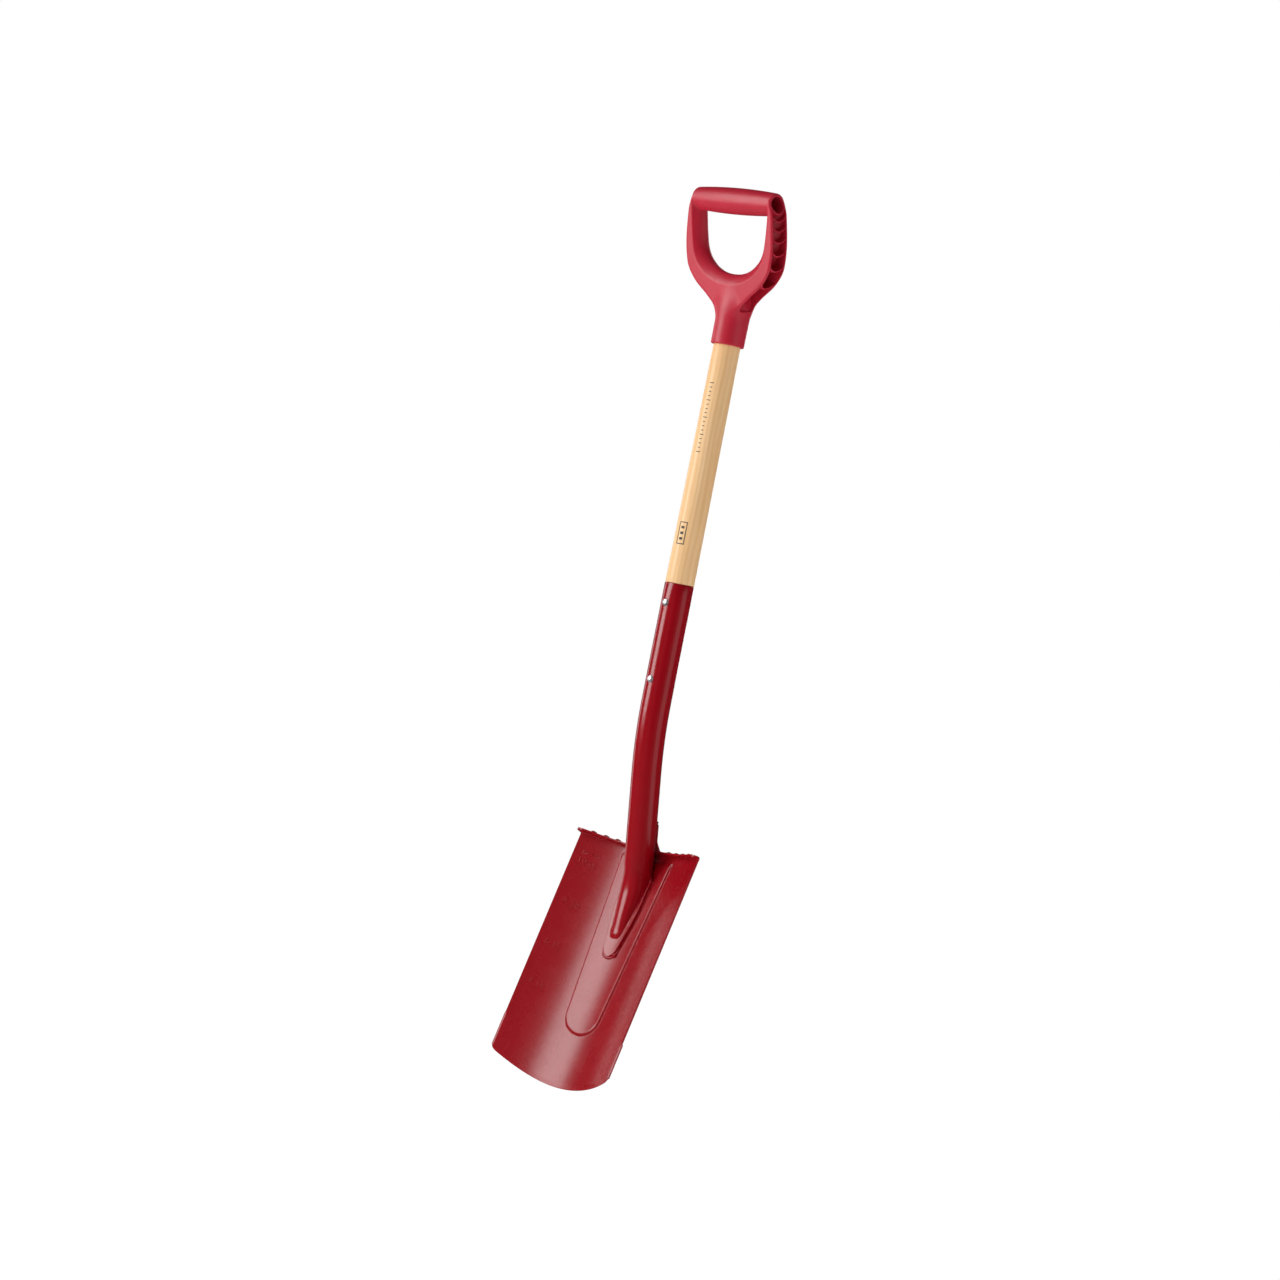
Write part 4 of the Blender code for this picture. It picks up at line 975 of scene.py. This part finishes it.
def arm_channel(x, y, w, plate_2d, window, bar_radial):
    """The hollow in each arm, crossed by bowed ribs that grow further apart downwards."""
    channel = smooth_max(WEB - window, CORE_HALF - x, CORE_BLEND)
    channel = smooth_max(channel, np.abs(y) - CHANNEL_HALF_DEPTH, 1.0 * MM)
    channel = smooth_max(channel, BAR_BORE_RADIUS + BAR_BORE_WALL - bar_radial, 0.5 * MM)
    channel = np.maximum(channel, w - BAR_W)
    channel = smooth_max(channel, CHANNEL_FOOT_W - w, CHANNEL_FOOT_BLEND)
    level = BAR_W - BAR_BORE_RADIUS
    step = RIB_STEP
    radius = (CHANNEL_HALF_DEPTH ** 2 + RIB_SAG ** 2) / (2 * RIB_SAG)
    bow = radius - np.sqrt(np.maximum(radius ** 2 - y ** 2, 0))
    for _ in range(RIB_COUNT):
        level -= step
        step *= RIB_STEP_GROWTH
        rib = np.abs(w - level - bow) - RIB_THICKNESS / 2
        rib = np.maximum(rib, plate_2d + RIB_INSET)
        channel = smooth_max(channel, -rib, 0.3 * MM)
    return channel


def shaft_coordinates(x, y, w):
    """Distance from the shaft's axis, height above the socket's mouth and depth behind the axis."""
    turn = np.array(LEAN.to_3x3().inverted())
    axis = turn @ np.array((0, 0, 1))
    back = turn @ np.array((0, 1, 0))
    foot = turn @ np.array((0, 0, -LEAN_RISE))
    along = (y - foot[1]) * axis[1] + (w - foot[2]) * axis[2]
    off_y = y - foot[1] - along * axis[1]
    off_w = w - foot[2] - along * axis[2]
    behind = (y - foot[1]) * back[1] + (w - foot[2]) * back[2]
    return np.sqrt(x ** 2 + off_y ** 2 + off_w ** 2), along, behind


def crossbar(x, bar_radial):
    size = BAR_RADIUS - (BAR_RADIUS - BAR_END_RADIUS) * (x / (BAR_HALF_LENGTH - BAR_END_ROUNDING)) ** 2
    return smooth_max(bar_radial - size, x - BAR_HALF_LENGTH, BAR_END_ROUNDING)


def screw_hole(x, along, behind, bore):
    radial = np.sqrt(x ** 2 + (along - (SCREW_Z - SOCKET_BOTTOM_Z)) ** 2)
    size = np.interp(behind, [bore, 16.2 * MM, 18.2 * MM, 18.6 * MM],
                     [2.3 * MM, 2.4 * MM, 4.2 * MM, 4.4 * MM])
    return np.maximum(radial - size, -behind)


def grip_field(x, y, w):
    """Distance field of the grip over grid axes, with x >= 0."""
    flat_x, flat_w = np.meshgrid(x, w, indexing="ij")
    outline = mirrored(smooth_path([(half * D_HALF, up * BAR_W) for up, half in D_OUTLINE], 6))
    plate_2d = polygon_distance(outline, flat_x, flat_w)[:, None, :]
    rise = BAR_W - WINDOW_BOTTOM_W
    side = [(WINDOW_HALF * half, WINDOW_BOTTOM_W + rise * up) for up, half in WINDOW_OUTLINE]
    window = smooth_path(side, 6)
    window = mirrored(np.concatenate([window, [(WINDOW_HALF, BAR_W + 2 * BAR_RADIUS)]]))
    window_2d = polygon_distance(window, flat_x, flat_w)[:, None, :]

    x, y, w = x[:, None, None], y[None, :, None], w[None, None, :]
    up = smooth_step((w - WINDOW_BOTTOM_W) / rise * 2)
    window = window_2d - (FLOOR_FLARE + (SIDE_FLARE - FLOOR_FLARE) * up) * (y / (D_DEPTH / 2)) ** 2
    bar_radial = np.sqrt(y ** 2 + (w - BAR_W) ** 2)
    radial, along, behind = shaft_coordinates(x, y, w)
    bore = SHAFT_RADIUS_HIGH + SHAFT_FIT

    outer = bore + SOCKET_WALL + SOCKET_SWELL * np.clip(along / SOCKET_DEPTH, 0, 1)
    taper = smooth_step((along - SOCKET_DEPTH + CROWN_TAPER_START) / CROWN_TAPER_LENGTH)
    outer = outer - CROWN_TAPER * taper
    crown = smooth_max(radial - outer, along - SOCKET_DEPTH - CROWN_RISE, 6 * MM)
    channel = arm_channel(x, y, w, plate_2d, window, bar_radial)
    channel = smooth_max(channel, outer - 0.5 * MM - radial, 3 * MM)

    body = smooth_max(grip_plate(plate_2d, y, w), -window, 0.8 * MM)
    body = smooth_min(body, crown, CROWN_BLEND)
    body = smooth_max(body, -channel, 0.6 * MM)
    body = smooth_max(body, -along, 1.6 * MM)
    body = smooth_min(body, crossbar(x, bar_radial), 2.0 * MM)
    end_bore = bar_radial - BAR_BORE_RADIUS * (0.94 + 0.06 * x / D_HALF)
    body = smooth_max(body, -smooth_max(end_bore, BAR_CORE_HALF - x, 1.5 * MM), 1.0 * MM)
    body = smooth_max(body, -np.maximum(radial - bore, along - SOCKET_DEPTH), 0.6 * MM)
    return smooth_max(body, -screw_hole(x, along, behind, bore), 0.5 * MM)


EDGES = [(a, b) for a, b in itertools.combinations(range(8), 2) if bin(a ^ b).count("1") == 1]


def surface_net(field, low, step):
    """A smooth quad skin round the cells where the field changes sign."""
    shape = field.shape
    corner = [(c & 1, c >> 1 & 1, c >> 2 & 1) for c in range(8)]
    negative = field < 0
    count = sum(negative[i:shape[0] - 1 + i, j:shape[1] - 1 + j, k:shape[2] - 1 + k].astype(np.int8)
                for i, j, k in corner)
    cells = np.argwhere((count > 0) & (count < 8))
    values = np.stack([field[tuple((cells + c).T)] for c in corner], 1)
    total = np.zeros((len(cells), 3))
    hits = np.zeros(len(cells))
    for a, b in EDGES:
        cross = (values[:, a] < 0) != (values[:, b] < 0)
        share = np.where(cross, values[:, a] / np.where(cross, values[:, a] - values[:, b], 1), 0)
        point = np.array(corner[a]) + share[:, None] * (np.array(corner[b]) - np.array(corner[a]))
        total += point * cross[:, None]
        hits += cross
    verts = np.array(low) + step * (cells + total / hits[:, None])
    number = np.full(count.shape, -1)
    number[tuple(cells.T)] = np.arange(len(cells))
    faces = []
    for axis in range(3):
        ahead = np.roll(negative, -1, axis)
        change = negative != ahead
        change = np.argwhere(change[1:-1, 1:-1, 1:-1]) + 1
        u, v = [(1, 2), (2, 0), (0, 1)][axis]
        quad = []
        for du, dv in ((1, 1), (0, 1), (0, 0), (1, 0)):
            cell = change.copy()
            cell[:, u] -= du
            cell[:, v] -= dv
            quad.append(number[tuple(cell.T)])
        quad = np.stack(quad, 1)
        outward = negative[tuple(change.T)]
        faces.append(np.where(outward[:, None], quad, quad[:, ::-1]))
    faces = np.concatenate(faces)
    return verts, faces[(faces >= 0).all(1)]


def settle(verts, field, low, step, rounds=2):
    """Moves the vertices onto the field's zero along its slope."""
    shape = np.array(field.shape)

    def sample(points):
        grid = np.clip((points - low) / step, 0, shape - 1.001)
        base = grid.astype(int)
        part = grid - base
        total = 0
        for c in itertools.product((0, 1), repeat=3):
            weight = np.prod(np.where(c, part, 1 - part), axis=1)
            total = total + weight * field[tuple((base + c).T)]
        return total

    for _ in range(rounds):
        value = sample(verts)
        slope = np.stack([sample(verts + delta) - sample(verts - delta)
                          for delta in np.eye(3) * step * 0.5], 1)
        slope /= step
        size = np.maximum((slope ** 2).sum(1), 0.25)
        verts = verts - 0.8 * (value / size)[:, None] * slope
    return verts


def make_grip(material):
    reach = np.arange(0.5, 72 * MM / VOXEL) * VOXEL
    back = np.arange(-34 * MM, 25 * MM, VOXEL)
    up = np.arange(-46 * MM, 145 * MM, VOXEL)
    half = grip_field(reach, back, up)
    field = np.concatenate([half[::-1], half], 0)
    low = np.array((-reach[-1], back[0], up[0]))
    verts, faces = surface_net(field, low, VOXEL)
    verts = settle(verts, field, low, VOXEL)
    mesh = bpy.data.meshes.new("moulded_grip")
    world = moved(DATUM @ LEAN, verts)
    mesh.from_pydata(world.tolist(), [], faces.tolist())
    mesh.validate()
    mesh.shade_smooth()
    mesh.materials.append(material)
    grip = new_object("moulded_grip", mesh)
    relax = grip.modifiers.new("relax", "SMOOTH")
    relax.factor = 0.5
    relax.iterations = 2
    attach(grip, "root")
    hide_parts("grip")
    return grip


# ---- stage

def make_stage():
    bpy.ops.mesh.primitive_circle_add(vertices=128, radius=FLOOR_RADIUS, fill_type="NGON",
                                      location=(0, 0, FLOOR_Z))
    floor = bpy.context.active_object
    floor.name = "studio_floor"
    n = Nodes("stage_floor")
    n.set(Base_Color=n.mix(n.noise(2.0, 2), (0.90, 0.90, 0.90), (0.94, 0.94, 0.94)), Roughness=0.7)
    n.shader.inputs["Emission Color"].default_value = (1, 1, 1, 1)
    n.shader.inputs["Emission Strength"].default_value = FLOOR_GLOW
    floor.data.materials.append(n.material)
    floor.visible_glossy = False


def direction(azimuth, elevation):
    """Unit vector away from the spade. Azimuth counts from its front towards its right."""
    return Vector((math.sin(azimuth) * math.cos(elevation), -math.cos(azimuth) * math.cos(elevation),
                   math.sin(elevation)))


def softbox(name, azimuth, elevation, distance, width, height, power, glossy=True):
    """A soft rectangular lamp, with its angles in degrees."""
    away = direction(math.radians(azimuth), math.radians(elevation))
    lamp = bpy.data.lights.new(name, "AREA")
    lamp.shape = "RECTANGLE"
    lamp.size = width
    lamp.size_y = height
    lamp.energy = power
    holder = new_object(name, lamp)
    holder.location = LIGHT_AIM + away * distance
    holder.rotation_mode = "QUATERNION"
    holder.rotation_quaternion = (-away).to_track_quat("-Z", "Y")
    holder.visible_camera = False
    holder.visible_glossy = glossy


def make_lights():
    world = bpy.data.worlds.new("studio")
    bpy.context.scene.world = world
    world.use_nodes = True
    tree = world.node_tree
    ambient = tree.nodes["Background"]
    ambient.inputs["Color"].default_value = (1, 1, 1, 1)
    ambient.inputs["Strength"].default_value = 0.03
    white = tree.nodes.new("ShaderNodeBackground")
    white.inputs["Color"].default_value = (1, 1, 1, 1)
    path = tree.nodes.new("ShaderNodeLightPath")
    blend = tree.nodes.new("ShaderNodeMixShader")
    tree.links.new(path.outputs["Is Camera Ray"], blend.inputs["Fac"])
    tree.links.new(ambient.outputs["Background"], blend.inputs[1])
    tree.links.new(white.outputs["Background"], blend.inputs[2])
    tree.links.new(blend.outputs["Shader"], tree.nodes["World Output"].inputs["Surface"])
    softbox("key_softbox", -36, 20, 2.6, 1.45, 2.5, 57)
    softbox("right_strip", 106, 8, 2.4, 1.5, 2.4, 6)
    softbox("left_strip", -92, 12, 2.4, 0.6, 2.4, 8)
    softbox("back_left", -150, 20, 2.6, 0.9, 2.0, 14)
    softbox("back_right", 160, 20, 2.6, 0.9, 2.0, 14, glossy=False)
    softbox("top_light", 20, 80, 2.2, 1.2, 1.2, 2)
    softbox("front_fill", 16, 8, 3.0, 1.2, 2.6, 15, glossy=False)
    softbox("right_fill", 84, 4, 2.6, 1.2, 2.4, 16, glossy=False)


def make_camera():
    bpy.context.scene.view_settings.view_transform = "Standard"
    back = direction(CAMERA_AZIMUTH, CAMERA_ELEVATION)
    right = (-back).cross(Vector((0, 0, 1))).normalized()
    up = right.cross(-back)
    across = right * math.cos(CAMERA_ROLL) + up * math.sin(CAMERA_ROLL)
    above = up * math.cos(CAMERA_ROLL) - right * math.sin(CAMERA_ROLL)
    data = bpy.data.cameras.new("camera")
    data.lens = CAMERA_LENS
    data.sensor_width = 36
    data.clip_end = 50
    camera = new_object("camera", data)
    place = DATUM @ (CAMERA_TARGET + back * CAMERA_DISTANCE)
    axes = Matrix((across, above, back)).transposed().to_4x4()
    camera.matrix_world = Matrix.Translation(place) @ axes
    bpy.context.scene.camera = camera


# ---- assembly

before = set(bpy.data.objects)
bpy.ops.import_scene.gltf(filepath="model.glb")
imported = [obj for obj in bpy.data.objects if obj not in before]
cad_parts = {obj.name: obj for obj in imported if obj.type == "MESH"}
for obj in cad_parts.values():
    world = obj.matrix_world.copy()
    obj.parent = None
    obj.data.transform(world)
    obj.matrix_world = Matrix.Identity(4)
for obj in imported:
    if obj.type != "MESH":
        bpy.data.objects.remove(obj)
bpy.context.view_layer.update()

blade_paint = powder_coat("spade_blade_paint", (0.285, 0.0012, 0.006), (0.315, 0.0016, 0.008), 0.27, 0.25)
tube_paint = powder_coat("spade_tube_paint", (0.285, 0.0012, 0.006), (0.315, 0.0016, 0.008), 0.19, 0.2)
weld_paint = powder_coat("spade_weld_paint", (0.27, 0.0012, 0.006), (0.31, 0.0016, 0.008), 0.28, 0.6)
steel = bright_steel()

make_blade(blade_paint)
make_bumps(blade_paint)
make_marks(blade_paint)
make_tube(tube_paint)
make_tongue_weld(weld_paint)
make_tab_weld(weld_paint)
make_shaft(ash_wood())
make_stamps(stamp_ink())
for rivet, rivet_z in RIVET_Z.items():
    make_rivet(rivet, rivet_z, steel)
make_screw(steel)
make_grip(moulded_plastic())
make_stage()
make_lights()
make_camera()

bpy.context.view_layer.update()
